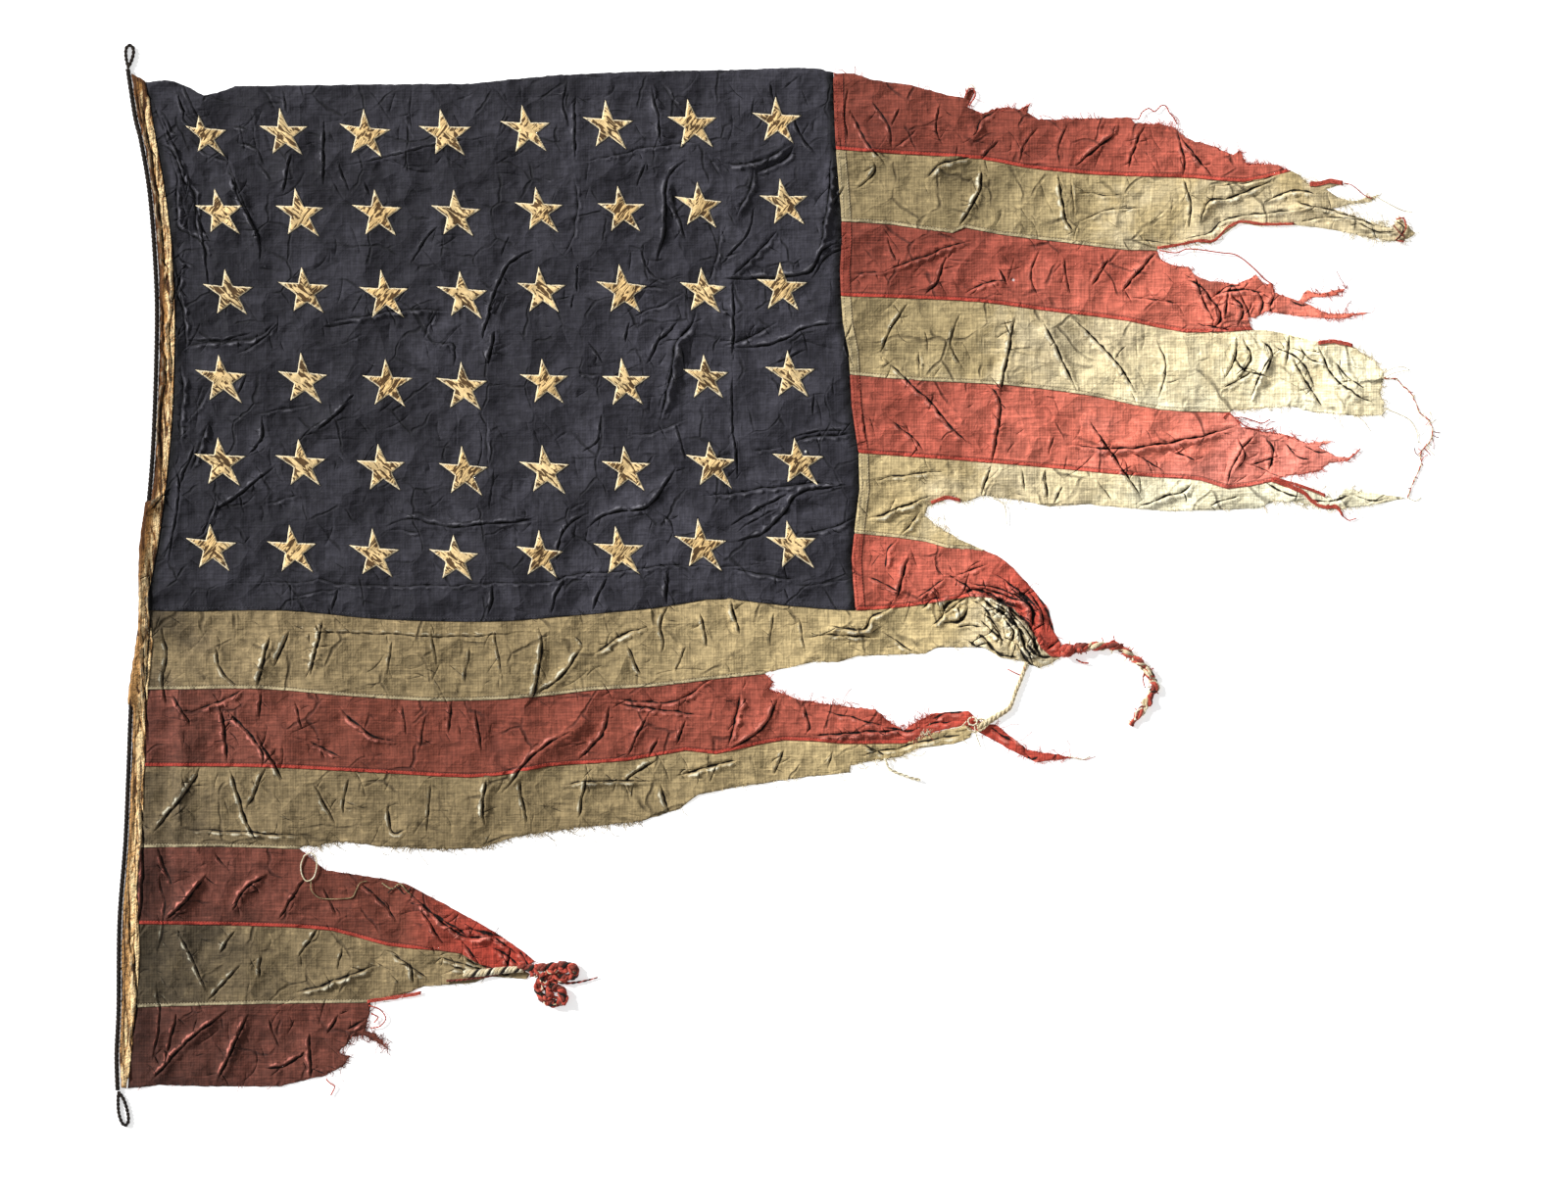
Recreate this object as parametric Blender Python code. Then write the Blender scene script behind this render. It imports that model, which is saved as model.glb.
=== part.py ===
"""A worn ensign lying face up on a flat surface: canton, thirteen torn stripes, canvas heading and hoist rope.

+X runs from the hoist to the fly, +Y up the hoist and +Z up from the surface, in metres.
Plan positions are read off the photograph as pixels (x to the right, y down) and turned into metres by PIXEL.
"""

import math

import bmesh
import bpy
import numpy as np
from mathutils.geometry import delaunay_2d_cdt

# Scale: the hoist rope is 1.5555 m long and takes 1037 pixels of the photograph.
HOIST = 1.5555
HOIST_PIXELS = 1037
PIXEL = HOIST / HOIST_PIXELS
ORIGIN_X = 789.35
ORIGIN_Y = 597.5

# Cloth and cord sizes, in metres.
BUNTING = 0.0016
CANVAS = 0.0024
SEAM_GAP = 0.00044
ROPE_RADIUS = 0.0036
EYE_RADIUS = 0.0022
STRAND_RADIUS = 0.0026
YARN_RADIUS = 0.0012
OUTLINE_STEP = 0.042
MERGE = 0.00005

# Sewn stars.
STAR_RADIUS = 0.0405
STAR_WAIST = 0.40
STAR_LEAN = 0.2
STAR_TURN = math.radians(3)
STAR_RAISE = 0.0008
STAR_BEVEL = 0.0011

# Where the canvas rolls over the rope, down the photograph, and how far it is lifted there.
ROLL_TOP = 512
ROLL_BOTTOM = 720
ROLL_RAMP = 22
ROLL_HEIGHT = 0.0083

COLOURS = {
    "blue": (0.030, 0.030, 0.044),
    "red": (0.30, 0.045, 0.035),
    "white": (0.36, 0.31, 0.16),
    "canvas": (0.60, 0.32, 0.12),
    "rope": (0.020, 0.014, 0.010),
    "cream": (0.62, 0.50, 0.30),
}

# Rows of star centres from the top, each (x, y).
STAR_ROWS = (
    ((211, 139), (290, 137), (373, 138), (455, 138), (538, 133), (621, 130), (707, 128), (793, 125)),
    ((225, 218), (306, 219), (386, 219), (466, 220), (551, 216), (635, 216), (714, 211), (801, 208)),
    ((234, 300), (312, 298), (393, 302), (473, 303), (553, 298), (636, 298), (718, 298), (798, 295)),
    ((227, 388), (310, 389), (396, 393), (473, 396), (557, 391), (638, 392), (721, 386), (807, 384)),
    ((226, 473), (309, 475), (390, 479), (474, 483), (557, 481), (640, 480), (727, 475), (815, 473)),
    ((217, 560), (300, 562), (383, 567), (465, 571), (552, 568), (633, 564), (716, 558), (809, 557)),
)

# Lines of the cloth, each point (x, y).
CANTON_TOP = (
    (150.6, 84), (168, 81.5), (180, 84), (195, 90), (208, 97.5), (222, 94.5), (240, 88), (300, 87), (400, 86),
    (480, 85.5), (530, 80), (570, 76.5), (651, 73), (740, 71.5), (812, 69), (835, 70), (850.4, 74),
)
CANTON_RIGHT = (
    (851, 72), (852, 110), (854, 155), (859, 215), (860, 245), (858, 275), (861, 330), (867, 360), (870, 415),
    (877, 462), (878, 500), (873, 540), (870, 570), (874, 624),
)
HEADING_RIGHT = (
    (149, 80), (156, 130), (166, 185), (174, 245), (178, 310), (177, 375), (174, 440), (167, 510), (160, 560),
    (151, 605), (151, 622), (155, 655), (150, 705), (147, 780), (144, 860), (139, 905), (142, 970), (136, 1050),
    (130, 1114),
)
ROPE_OUTER = (
    (128.4, 71), (136, 120), (142, 145), (151, 200), (157, 280), (158, 340), (155, 440), (150, 510), (143, 560),
    (142, 640), (133, 700), (129, 790), (126, 860), (120, 940), (119, 1030), (117, 1076), (118, 1112.4),
)

# Seams from the hoist side to where the stitching ends, named by the stripes above and below.
SEAMS = {
    1: ((854, 152), (910, 156), (1000, 161.5), (1045, 170), (1120, 177.5), (1220, 181), (1270, 185), (1316, 174)),
    2: ((860, 225.5), (910, 228.5), (972, 237), (984, 231.5), (1020, 238.5), (1080, 246), (1150, 254.5), (1180, 255)),
    3: ((859, 301.5), (920, 303.5), (1000, 307.5), (1060, 315.5), (1150, 326.5), (1210, 338.5), (1278, 336)),
    4: ((869, 381.5), (935, 387.5), (1025, 392), (1110, 402.5), (1185, 417.5), (1255, 420)),
    5: ((877, 461.5), (940, 466), (1060, 475.5), (1150, 484), (1225, 489.5), (1252, 498), (1297, 491)),
    6: ((872, 543.5), (918, 548), (945, 552), (965, 558), (1004, 561.5)),
    7: (
        (151, 622), (200, 623), (290, 622), (390, 631), (500, 633.5), (570, 628.5), (670, 619.5), (720, 611),
        (745, 610.5), (800, 617), (874, 622), (935, 617), (990, 608), (1012, 609), (1034, 620), (1050, 638),
        (1062, 660), (1073, 669.5), (1084, 669.5),
    ),
    8: ((154, 703), (265, 702), (350, 709), (450, 714.5), (540, 711), (610, 703), (670, 699.5), (730, 692), (780, 687)),
    9: (
        (151, 781), (270, 782), (390, 788), (480, 792.5), (525, 788), (560, 781), (640, 775.5), (700, 765),
        (730, 768.5), (800, 754.5), (860, 758), (930, 757.5),
    ),
    10: ((144, 864), (220, 863), (305, 865.5)),
    11: ((143, 942), (260, 944), (340, 949), (395, 964), (470, 972), (498, 987.5), (535, 990)),
    12: ((141, 1027), (220, 1024.5), (300, 1023), (378, 1022)),
}

# Torn edges from the end of the seam above to the end of the seam below, going round the fly end.
TEARS = {
    1: (
        (872, 75), (888, 81), (930, 87), (966, 97), (984, 100), (989, 90), (995, 93), (987, 109), (1000, 116),
        (1018, 110), (1040, 111), (1051, 106), (1048, 115), (1060, 122.5), (1105, 121), (1153, 119.5), (1158, 126),
        (1180, 126), (1198, 130), (1210, 141), (1243, 151), (1258, 159), (1266, 153), (1272, 166), (1305, 168.5),
    ),
    2: (
        (1326, 179), (1336, 188), (1357, 184.5), (1371, 188), (1353, 193), (1366, 202), (1380, 205), (1406, 199),
        (1402, 205), (1360, 213), (1390, 223.5), (1420, 233), (1428, 222), (1445, 238), (1432, 247), (1400, 243.5),
        (1355, 234), (1322, 230), (1285, 231), (1265, 227.5), (1236, 249), (1220, 247.5), (1200, 252),
    ),
    3: (
        (1184, 263), (1195, 270), (1213, 272), (1220, 281), (1235, 287), (1262, 290), (1281, 281), (1290, 290),
        (1299, 289), (1301, 299), (1325, 307), (1334, 296), (1346, 299.5), (1374, 294), (1362, 302), (1338, 305),
        (1331, 309), (1355, 320), (1398, 319), (1368, 326), (1325, 323), (1308, 320), (1290, 318), (1281, 325),
        (1273, 324),
    ),
    4: (
        (1300, 338), (1337, 347), (1378, 352), (1400, 367), (1413, 380), (1408, 403), (1413, 412), (1411, 424),
        (1385, 425), (1335, 420), (1318, 415), (1275, 418),
    ),
    5: (
        (1262, 428), (1267, 436), (1297, 441), (1318, 445), (1332, 452), (1360, 450), (1346, 456), (1363, 466),
        (1375, 467), (1388, 458), (1377, 470), (1357, 473), (1345, 482), (1308, 487),
    ),
    6: (
        (1338, 501), (1362, 510), (1372, 499), (1400, 503), (1436, 508), (1400, 516), (1355, 521), (1325, 513),
        (1300, 512), (1285, 519), (1240, 521), (1190, 522), (1110, 515), (1070, 517), (1040, 511), (1003, 506.5),
        (982, 513), (973, 507), (948, 517), (943, 526), (965, 543), (985, 553),
    ),
    7: ((1018, 567), (1030, 576), (1050, 597), (1069, 620), (1076, 645), (1083, 657)),
    8: (
        (1072, 678), (1060, 682), (1043, 675), (1020, 671), (1003, 661), (957, 661), (945, 667), (875, 670),
        (855, 676), (830, 676),
    ),
    9: (
        (790, 696), (785, 703), (815, 714), (865, 721), (893, 724), (910, 738), (922, 745), (950, 728), (988, 725.5),
        (1003, 739), (1016, 739), (1048, 765), (1098, 773.5), (1058, 778), (1030, 765), (1003, 750), (985, 741),
        (960, 745.5), (942, 750.5),
    ),
    10: (
        (943, 753), (985, 743), (992, 746.5), (990, 753), (975, 759), (935, 764.5), (920, 772), (868, 781),
        (868, 789), (825, 793), (755, 803), (712, 811.5), (693, 826), (655, 838), (580, 846.5), (530, 853),
        (490, 866), (450, 867), (400, 865), (350, 859.5),
    ),
    11: (
        (320, 878), (333, 888), (390, 896.5), (415, 902), (447, 919), (475, 934), (503, 950), (530, 968), (546, 981),
    ),
    12: ((541, 994), (537, 999.5), (500, 997), (485, 1003), (432, 1007), (415, 1014.5)),
    13: (
        (379, 1026), (374, 1052), (384, 1055), (397, 1071), (372, 1057), (360, 1058.5), (346, 1074), (358, 1078),
        (350, 1089), (331, 1098), (315, 1102), (285, 1109), (210, 1109), (165, 1107.5), (130.6, 1111),
    ),
}

# Worn holes: x, y, radius in pixels.
HOLES = {"canton": (822, 461, 1.5), "stripe_03": (1034, 286, 1.5)}

# Main folds: height and half width in millimetres, then the crest's points.
FOLDS = (
    (5, 10, (176, 86), (200, 128), (235, 166)),
    (6, 11, (233, 150), (250, 208), (266, 268)),
    (5, 10, (290, 80), (297, 158), (288, 205)),
    (6, 11, (350, 172), (420, 155), (500, 141)),
    (5, 10, (587, 98), (588, 165), (583, 215)),
    (6, 11, (663, 66), (672, 120), (679, 158)),
    (7, 12, (703, 163), (680, 195), (670, 270)),
    (6, 11, (735, 167), (775, 165), (812, 147)),
    (6, 11, (770, 172), (762, 205), (748, 225)),
    (6, 11, (845, 160), (845, 215), (835, 265)),
    (6, 11, (792, 236), (765, 262), (738, 286)),
    (5, 10, (868, 244), (838, 256), (815, 284)),
    (5, 10, (340, 328), (400, 319), (462, 316)),
    (6, 11, (532, 254), (510, 285), (490, 352)),
    (7, 12, (708, 320), (690, 350), (678, 430)),
    (6, 11, (868, 328), (805, 345), (745, 357)),
    (5, 10, (358, 406), (338, 426), (318, 444)),
    (5, 10, (282, 476), (250, 500), (213, 522)),
    (6, 11, (690, 476), (660, 517), (598, 542)),
    (5, 10, (602, 522), (575, 548), (566, 575)),
    (6, 11, (890, 494), (812, 508), (742, 554)),
    (5, 10, (198, 475), (212, 430), (217, 395)),
    (5, 10, (395, 537), (450, 538), (545, 530)),
    (5, 10, (868, 95), (890, 152), (906, 178)),
    (5, 9, (985, 155), (1001, 128), (1018, 100)),
    (5, 10, (1146, 120), (1115, 155), (1088, 182)),
    (5, 10, (1198, 124), (1222, 163), (1240, 192)),
    (5, 10, (945, 186), (962, 168), (992, 158)),
    (5, 10, (1002, 164), (1000, 195), (975, 238)),
    (5, 10, (1077, 172), (1087, 210), (1100, 242)),
    (6, 11, (1220, 240), (1234, 207), (1304, 180)),
    (5, 9, (1270, 220), (1335, 214), (1410, 232)),
    (5, 10, (892, 282), (940, 262), (994, 244)),
    (5, 10, (1183, 254), (1165, 275), (1142, 300)),
    (5, 10, (1214, 270), (1225, 302), (1240, 336)),
    (5, 9, (1256, 285), (1251, 305), (1250, 332)),
    (5, 10, (898, 358), (940, 402), (1000, 460)),
    (5, 10, (1036, 318), (1028, 360), (1017, 412)),
    (7, 12, (1061, 316), (1076, 352), (1102, 406)),
    (5, 10, (1093, 322), (1132, 362), (1164, 406)),
    (5, 10, (1340, 342), (1360, 385), (1408, 418)),
    (5, 9, (1272, 424), (1287, 385), (1302, 348)),
    (6, 11, (1080, 455), (1160, 457), (1270, 432)),
    (5, 10, (1106, 424), (1140, 470), (1172, 516)),
    (5, 9, (1288, 434), (1264, 465), (1250, 502)),
    (5, 10, (882, 534), (920, 517), (957, 502)),
    (5, 10, (1156, 520), (1190, 508), (1222, 488)),
    (6, 11, (930, 562), (920, 590), (912, 616)),
    (7, 11, (985, 590), (1035, 606), (1074, 636)),
    (7, 12, (276, 640), (269, 676), (261, 708)),
    (6, 11, (333, 624), (326, 660), (316, 696)),
    (7, 12, (552, 636), (550, 682), (533, 726)),
    (6, 11, (612, 652), (578, 686), (548, 716)),
    (6, 10, (742, 604), (750, 630), (756, 652)),
    (7, 12, (832, 642), (882, 644), (916, 616)),
    (9, 13, (1000, 612), (1040, 642), (1080, 668)),
    (8, 12, (975, 652), (1030, 662), (1086, 672)),
    (6, 11, (182, 630), (186, 760), (176, 930)),
    (6, 11, (226, 716), (262, 757), (294, 800)),
    (5, 10, (342, 716), (375, 745), (412, 760)),
    (9, 13, (622, 722), (572, 754), (510, 814)),
    (5, 10, (667, 722), (652, 748), (640, 775)),
    (6, 11, (797, 706), (777, 742), (740, 768)),
    (5, 10, (815, 752), (870, 748), (935, 742)),
    (5, 10, (236, 779), (252, 822), (266, 866)),
    (8, 12, (498, 786), (495, 818), (493, 850)),
    (5, 10, (562, 804), (610, 797), (672, 798)),
    (7, 12, (214, 886), (192, 913), (164, 944)),
    (7, 12, (276, 886), (252, 908), (235, 938)),
    (6, 11, (408, 906), (450, 936), (512, 958)),
    (5, 10, (180, 940), (197, 978), (212, 1016)),
    (5, 10, (295, 1018), (345, 1000), (392, 983)),
    (8, 12, (236, 1026), (192, 1064), (148, 1112)),
    (8, 12, (255, 1028), (238, 1070), (219, 1112)),
)

# Heading: one slanting fold in the canvas.
HEADING_FOLDS = ((3, 8, (174, 498), (163, 512), (152, 524)),)

# Rope eyes: centre lines as (x, y), each a closed ring.
UPPER_EYE = (
    (131.2, 69.2), (129.4, 62), (128.6, 54), (129.6, 48.8), (132.6, 46.6), (135.8, 48.8), (136.6, 54), (134.6, 62),
)
LOWER_EYE = (
    (121.4, 1114.4), (120.8, 1124), (121.6, 1136), (124.6, 1145.4), (128.4, 1148.4), (131.4, 1144), (130.4, 1134),
    (126.6, 1122),
)

# Loose pieces at the fly: x, y and radius in pixels.
TWISTED_TAIL = (
    (1083.9, 664.5, 6.6), (1110, 660, 6), (1138, 659.5, 5), (1152, 668, 4.6), (1163, 676, 4.4), (1172, 688, 4.4),
    (1178, 700, 4.3), (1172, 714, 4.3), (1163, 728, 4), (1153, 740, 3),
)
LOWER_LINK = (
    (1047.5, 677.4), (1042, 692), (1037, 704), (1032, 718), (1028, 724), (1015, 732), (1007, 737.6),
)
UPPER_LINK = (
    (1412.5, 385.5), (1425, 387), (1431, 394), (1438, 400), (1443, 408), (1448, 420), (1458, 430), (1461, 437),
    (1460, 448), (1450, 462), (1449, 476), (1443, 490), (1436.4, 507.6),
)
KNOT_LOOPS = (
    ((537.7, 989.8), (543, 988.6), (553, 986.5), (565, 983.6), (581, 984), (589.5, 990), (583, 995.5), (568, 996), (560, 1001)),
    ((556, 990), (553, 1002), (551, 1016), (560, 1026), (572, 1025.5), (577, 1015), (569, 1007), (562, 996)),
    ((562, 998), (575, 1003), (592, 1002), (610, 997.5)),
)
KNOT_RADII = (2.9, 3.0, 2.1)
KNOT_RISE = 0.003
KNOT_GRAIN = 0.003


def place(points):
    """Photograph pixels to metres in plan."""
    points = np.asarray(points, float)
    return np.column_stack([(points[:, 0] - ORIGIN_X) * PIXEL, (ORIGIN_Y - points[:, 1]) * PIXEL])


def smooth(points, step):
    """A curve through the points, with a vertex about every step pixels."""
    points = np.asarray(points, float)
    ends = np.vstack([2 * points[0] - points[1], points, 2 * points[-1] - points[-2]])
    curve = []
    for i in range(len(points) - 1):
        a, b, c, d = ends[i : i + 4]
        count = max(1, round(float(np.linalg.norm((c - b)[:2])) / step))
        for t in np.arange(count) / count:
            curve.append(b + 0.5 * t * (c - a + t * (2 * a - 5 * b + 4 * c - d + t * (3 * b - a - 3 * c + d))))
    curve.append(points[-1])
    return np.array(curve)


def beside(line, amount):
    """The line moved to the right-hand side of its direction by amount, in pixels."""
    steps = np.diff(line, axis=0)
    steps /= np.linalg.norm(steps, axis=1)[:, None]
    along = np.vstack([steps[:1], steps[:-1] + steps[1:], steps[-1:]])
    along /= np.linalg.norm(along, axis=1)[:, None]
    return line + amount * np.column_stack([-along[:, 1], along[:, 0]])


def cut(line, axis, low, high):
    """The part of a line whose coordinate on the axis is between low and high."""
    other = 1 - axis
    inside = line[(line[:, axis] > low + 0.4) & (line[:, axis] < high - 0.4)]
    ends = np.zeros((2, 2))
    ends[:, axis] = low, high
    ends[:, other] = np.interp((low, high), line[:, axis], line[:, other])
    return np.vstack([ends[:1], inside, ends[1:]])


def fold_lines(crest, half_width):
    """Crest and foot lines of a fold in metres, and the share of its full size at each crest point."""
    crest = smooth(crest, 1.0)
    lengths = np.concatenate([[0], np.cumsum(np.linalg.norm(np.diff(crest, axis=0), axis=1))])
    stations = np.array([0, 0.2, 0.5, 0.8, 1]) * lengths[-1]
    crest = np.column_stack([np.interp(stations, lengths, crest[:, k]) for k in (0, 1)])
    share = np.array([0, 0.85, 1, 0.85, 0])
    line = place(crest)
    feet = [beside(line, side * half_width) * share[:, None] + line * (1 - share[:, None]) for side in (1, -1)]
    return line, feet, share


def read_folds(table):
    """Each fold as its crest, feet, shares, height and half width in metres."""
    folds = []
    for height, half_width, *crest in table:
        line, feet, share = fold_lines(crest, half_width / 1000)
        folds.append((line, feet, share, height / 1000, half_width / 1000))
    return folds


def lift_of(folds):
    """A function that gives the height of the cloth's underside at a plan position."""

    def lift(point):
        best = 0.0
        for line, _, share, height, half_width in folds:
            for i in range(len(line) - 1):
                start, run = line[i], line[i + 1] - line[i]
                t = min(1.0, max(0.0, float((point - start) @ run / (run @ run))))
                size = share[i] + t * (share[i + 1] - share[i])
                if size > 0.02:
                    distance = float(np.linalg.norm(start + t * run - point))
                    best = max(best, height * size - height * distance / half_width)
        return best if best > 0.0003 else 0.0

    return lift


def inside(point, loop):
    """Whether a plan position is inside a closed loop."""
    x, y = point
    start, end = loop, np.roll(loop, -1, axis=0)
    crosses = (start[:, 1] > y) != (end[:, 1] > y)
    start, end = start[crosses], end[crosses]
    where = start[:, 0] + (y - start[:, 1]) * (end[:, 0] - start[:, 0]) / (end[:, 1] - start[:, 1])
    return np.count_nonzero(where > x) % 2 == 1


def triangles(points, edges, outline, holes):
    """Triangles of the cloth inside its outline and outside its holes, kept to the given edges."""
    result = delaunay_2d_cdt([tuple(p) for p in points], edges, [], 0, MERGE)
    plan = np.array([tuple(v) for v in result[0]])
    kept = []
    for face in result[2]:
        middle = plan[list(face)].mean(axis=0)
        if inside(middle, outline) and not any(inside(middle, hole) for hole in holes):
            kept.append(tuple(face))
    lines = [edge for edge, origin in zip(result[1], result[4]) if origin]
    return plan, kept, lines


def joined(loops, lines):
    """Points of closed loops and open lines, with their edges."""
    points, edges = [], []
    for line, is_loop in [(loop, True) for loop in loops] + [(line, False) for line in lines]:
        first = len(points)
        points.extend(line)
        edges.extend((first + i, first + i + 1) for i in range(len(line) - 1))
        if is_loop:
            edges.append((first + len(line) - 1, first))
    return points, edges


def star_loop(centre, inset):
    """Outline of a sewn star in metres, moved inwards by inset."""
    corners = []
    for i in range(10):
        radius = STAR_RADIUS if i % 2 == 0 else STAR_RADIUS * STAR_WAIST
        angle = math.pi / 2 - STAR_TURN - i * math.pi / 5
        x, y = radius * math.cos(angle), radius * math.sin(angle)
        corners.append((x - STAR_LEAN * y, y))
    corners = np.array(corners) + place([centre])[0]
    if not inset:
        return corners
    moved = []
    for i in range(10):
        before = corners[i] - corners[i - 1]
        after = corners[(i + 1) % 10] - corners[i]
        normals = [np.array([v[1], -v[0]]) / np.linalg.norm(v) for v in (before, after)]
        mitre = normals[0] + normals[1]
        moved.append(corners[i] + mitre * inset / (1 + normals[0] @ normals[1]))
    return np.array(moved)


def star_loop_inner(centre, loop):
    """The raised star's own edge, inside its sewn outline."""
    return loop + (star_loop((0, 0), STAR_BEVEL) - star_loop((0, 0), 0))


def edge_distance(point, loop):
    """Distance from a plan position to the nearest side of a loop."""
    start, run = loop, np.roll(loop, -1, axis=0) - loop
    t = np.clip(((point - start) * run).sum(axis=1) / (run * run).sum(axis=1), 0, 1)
    return float(np.linalg.norm(start + t[:, None] * run - point, axis=1).min())


def star_raise(point, stars):
    """How far a sewn star lifts the upper face at a plan position."""
    for centre, loop in stars:
        if np.linalg.norm(point - centre) < 1.1 * STAR_RADIUS and inside(point, loop):
            return STAR_RAISE * min(1.0, edge_distance(point, loop) / STAR_BEVEL)
    return 0.0


def solid(name, vertices, faces, colour):
    """A closed mesh object with outward faces and a plain material."""
    mesh = bpy.data.meshes.new(name)
    mesh.from_pydata([tuple(float(c) for c in v) for v in vertices], [], faces)
    body = bmesh.new()
    body.from_mesh(mesh)
    bmesh.ops.recalc_face_normals(body, faces=body.faces)
    body.to_mesh(mesh)
    body.free()
    thing = bpy.data.objects.new(name, mesh)
    bpy.context.collection.objects.link(thing)
    material = bpy.data.materials.get(colour) or bpy.data.materials.new(colour)
    material.use_nodes = True
    shader = material.node_tree.nodes["Principled BSDF"]
    shader.inputs["Base Color"].default_value = (*COLOURS[colour], 1)
    shader.inputs["Roughness"].default_value = 0.85
    mesh.materials.append(material)
    return thing


def cloth(name, outline, lines, lift, thickness, colour, holes=(), stars=()):
    """A sheet over its outline, lifted along its folds and flat on the surface elsewhere."""
    points, edges = joined([outline, *holes], lines)
    plan, under, kept_lines = triangles(points, edges, outline, holes)
    upper_plan, upper = plan, under
    if stars:
        rings = [ring for centre, loop in stars for ring in (loop, star_loop_inner(centre, loop))]
        ring_points, ring_edges = joined(rings, [])
        first = len(plan)
        all_edges = kept_lines + [(a + first, b + first) for a, b in ring_edges]
        upper_plan, upper, _ = triangles(list(plan) + list(ring_points), all_edges, outline, holes)
    vertices = []
    lower_at, upper_at = {}, {}
    for faces, where, at, extra in ((under, plan, lower_at, False), (upper, upper_plan, upper_at, True)):
        for index in sorted({i for face in faces for i in face}):
            point = where[index]
            height = lift(point)
            if extra:
                height += thickness + star_raise(point, stars)
            at[tuple(np.round(point, 7))] = len(vertices)
            vertices.append((*point, height))
    keys = [tuple(np.round(p, 7)) for p in plan]
    upper_keys = [tuple(np.round(p, 7)) for p in upper_plan]
    faces = [tuple(lower_at[keys[i]] for i in reversed(face)) for face in under]
    faces += [tuple(upper_at[upper_keys[i]] for i in face) for face in upper]
    uses = {}
    for face in under:
        for i in range(3):
            pair = (face[i], face[(i + 1) % 3])
            uses[tuple(sorted(pair))] = None if tuple(sorted(pair)) in uses else pair
    for pair in filter(None, uses.values()):
        a, b = (keys[i] for i in pair)
        faces.append((lower_at[a], lower_at[b], upper_at[b]))
        faces.append((lower_at[a], upper_at[b], upper_at[a]))
    return solid(name, vertices, faces, colour)


def near(folds, outline):
    """The folds that come within reach of an outline."""
    low, high = outline.min(axis=0), outline.max(axis=0)
    found = []
    for fold in folds:
        ground = np.vstack(fold[1])
        if (ground.max(axis=0) > low).all() and (ground.min(axis=0) < high).all():
            found.append(fold)
    return found


def folded_cloth(name, outline, folds, thickness, colour, stars=()):
    """A sheet with the folds that reach it."""
    outline = place(outline)
    folds = near(folds, outline)
    lines = [line for fold in folds for line in (fold[0], *fold[1])]
    holes = []
    if name in HOLES:
        x, y, radius = HOLES[name]
        turns = np.arange(6) * math.pi / 3
        holes.append(place(np.column_stack([x + radius * np.cos(turns), y + radius * np.sin(turns)])))
    return cloth(name, outline, lines, lift_of(folds), thickness, colour, holes, stars)


def tube(path, radii, sides, is_ring=False, lobes=0.0, turns=0.0):
    """A round body along a path lying on the surface; lobes and turns give it a twist."""
    path = np.asarray(path, float)
    if is_ring:
        along = np.roll(path, -1, axis=0) - np.roll(path, 1, axis=0)
    else:
        along = np.gradient(path, axis=0)
    along /= np.linalg.norm(along, axis=1)[:, None]
    vertices = []
    for i, (point, direction) in enumerate(zip(path, along)):
        side = np.array([direction[1], -direction[0], 0.0])
        side /= np.linalg.norm(side)
        up = np.cross(side, direction)
        for k in range(sides):
            angle = 2 * math.pi * k / sides
            wave = 1 + lobes * math.cos(2 * (angle - turns * 2 * math.pi * i / len(path)))
            offset = side * math.cos(angle) + up * math.sin(angle)
            vertex = point + radii[i] * wave * offset
            vertex[2] = max(vertex[2], 0.0)
            vertices.append(vertex)
    faces = []
    count = len(path)
    for i in range(count if is_ring else count - 1):
        for k in range(sides):
            a, b = i * sides + k, i * sides + (k + 1) % sides
            c, d = ((i + 1) % count) * sides + (k + 1) % sides, ((i + 1) % count) * sides + k
            faces.append((a, b, c, d))
    if not is_ring:
        faces.append(tuple(range(sides)))
        faces.append(tuple(range((count - 1) * sides, count * sides))[::-1])
    return vertices, faces


def resting(plan, heights):
    """A path over its plan at the given heights."""
    return np.column_stack([plan, heights])


def strand(name, points, radius, sides, step, colour):
    """A round strand with rounded ends, lying on the surface."""
    plan = place(smooth(points, step))
    radii = np.full(len(plan), radius)
    radii[0] = radii[-1] = 0.55 * radius
    path = resting(plan, np.full(len(plan), radius))
    return solid(name, *tube(path, radii, sides), colour)


def make_canton(gap, lines):
    """The blue canton, with its sewn stars raised in the upper face."""
    right = beside(lines["canton_right"], gap)
    bottom = cut(beside(lines[7], -gap), 0, lines["heading_right"][:, 0].min(), 900)
    left = beside(lines["heading_right"], -gap)
    corner_y = float(np.interp(874, bottom[:, 0], bottom[:, 1]))
    corner_x = float(np.interp(corner_y, right[:, 1], right[:, 0]))
    foot_y = float(np.interp(152, bottom[:, 0], bottom[:, 1]))
    foot_x = float(np.interp(foot_y, left[:, 1], left[:, 0]))
    outline = np.vstack([
        CANTON_TOP,
        cut(right, 1, 74, corner_y)[1:-1],
        cut(bottom, 0, foot_x, corner_x)[::-1],
        cut(left, 1, 84, foot_y)[1:-1][::-1],
    ])
    stars = []
    for row in STAR_ROWS:
        for centre in row:
            stars.append((place([centre])[0], star_loop(centre, 0)))
    return folded_cloth("canton", outline, lines["folds"], BUNTING, "blue", stars)


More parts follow.
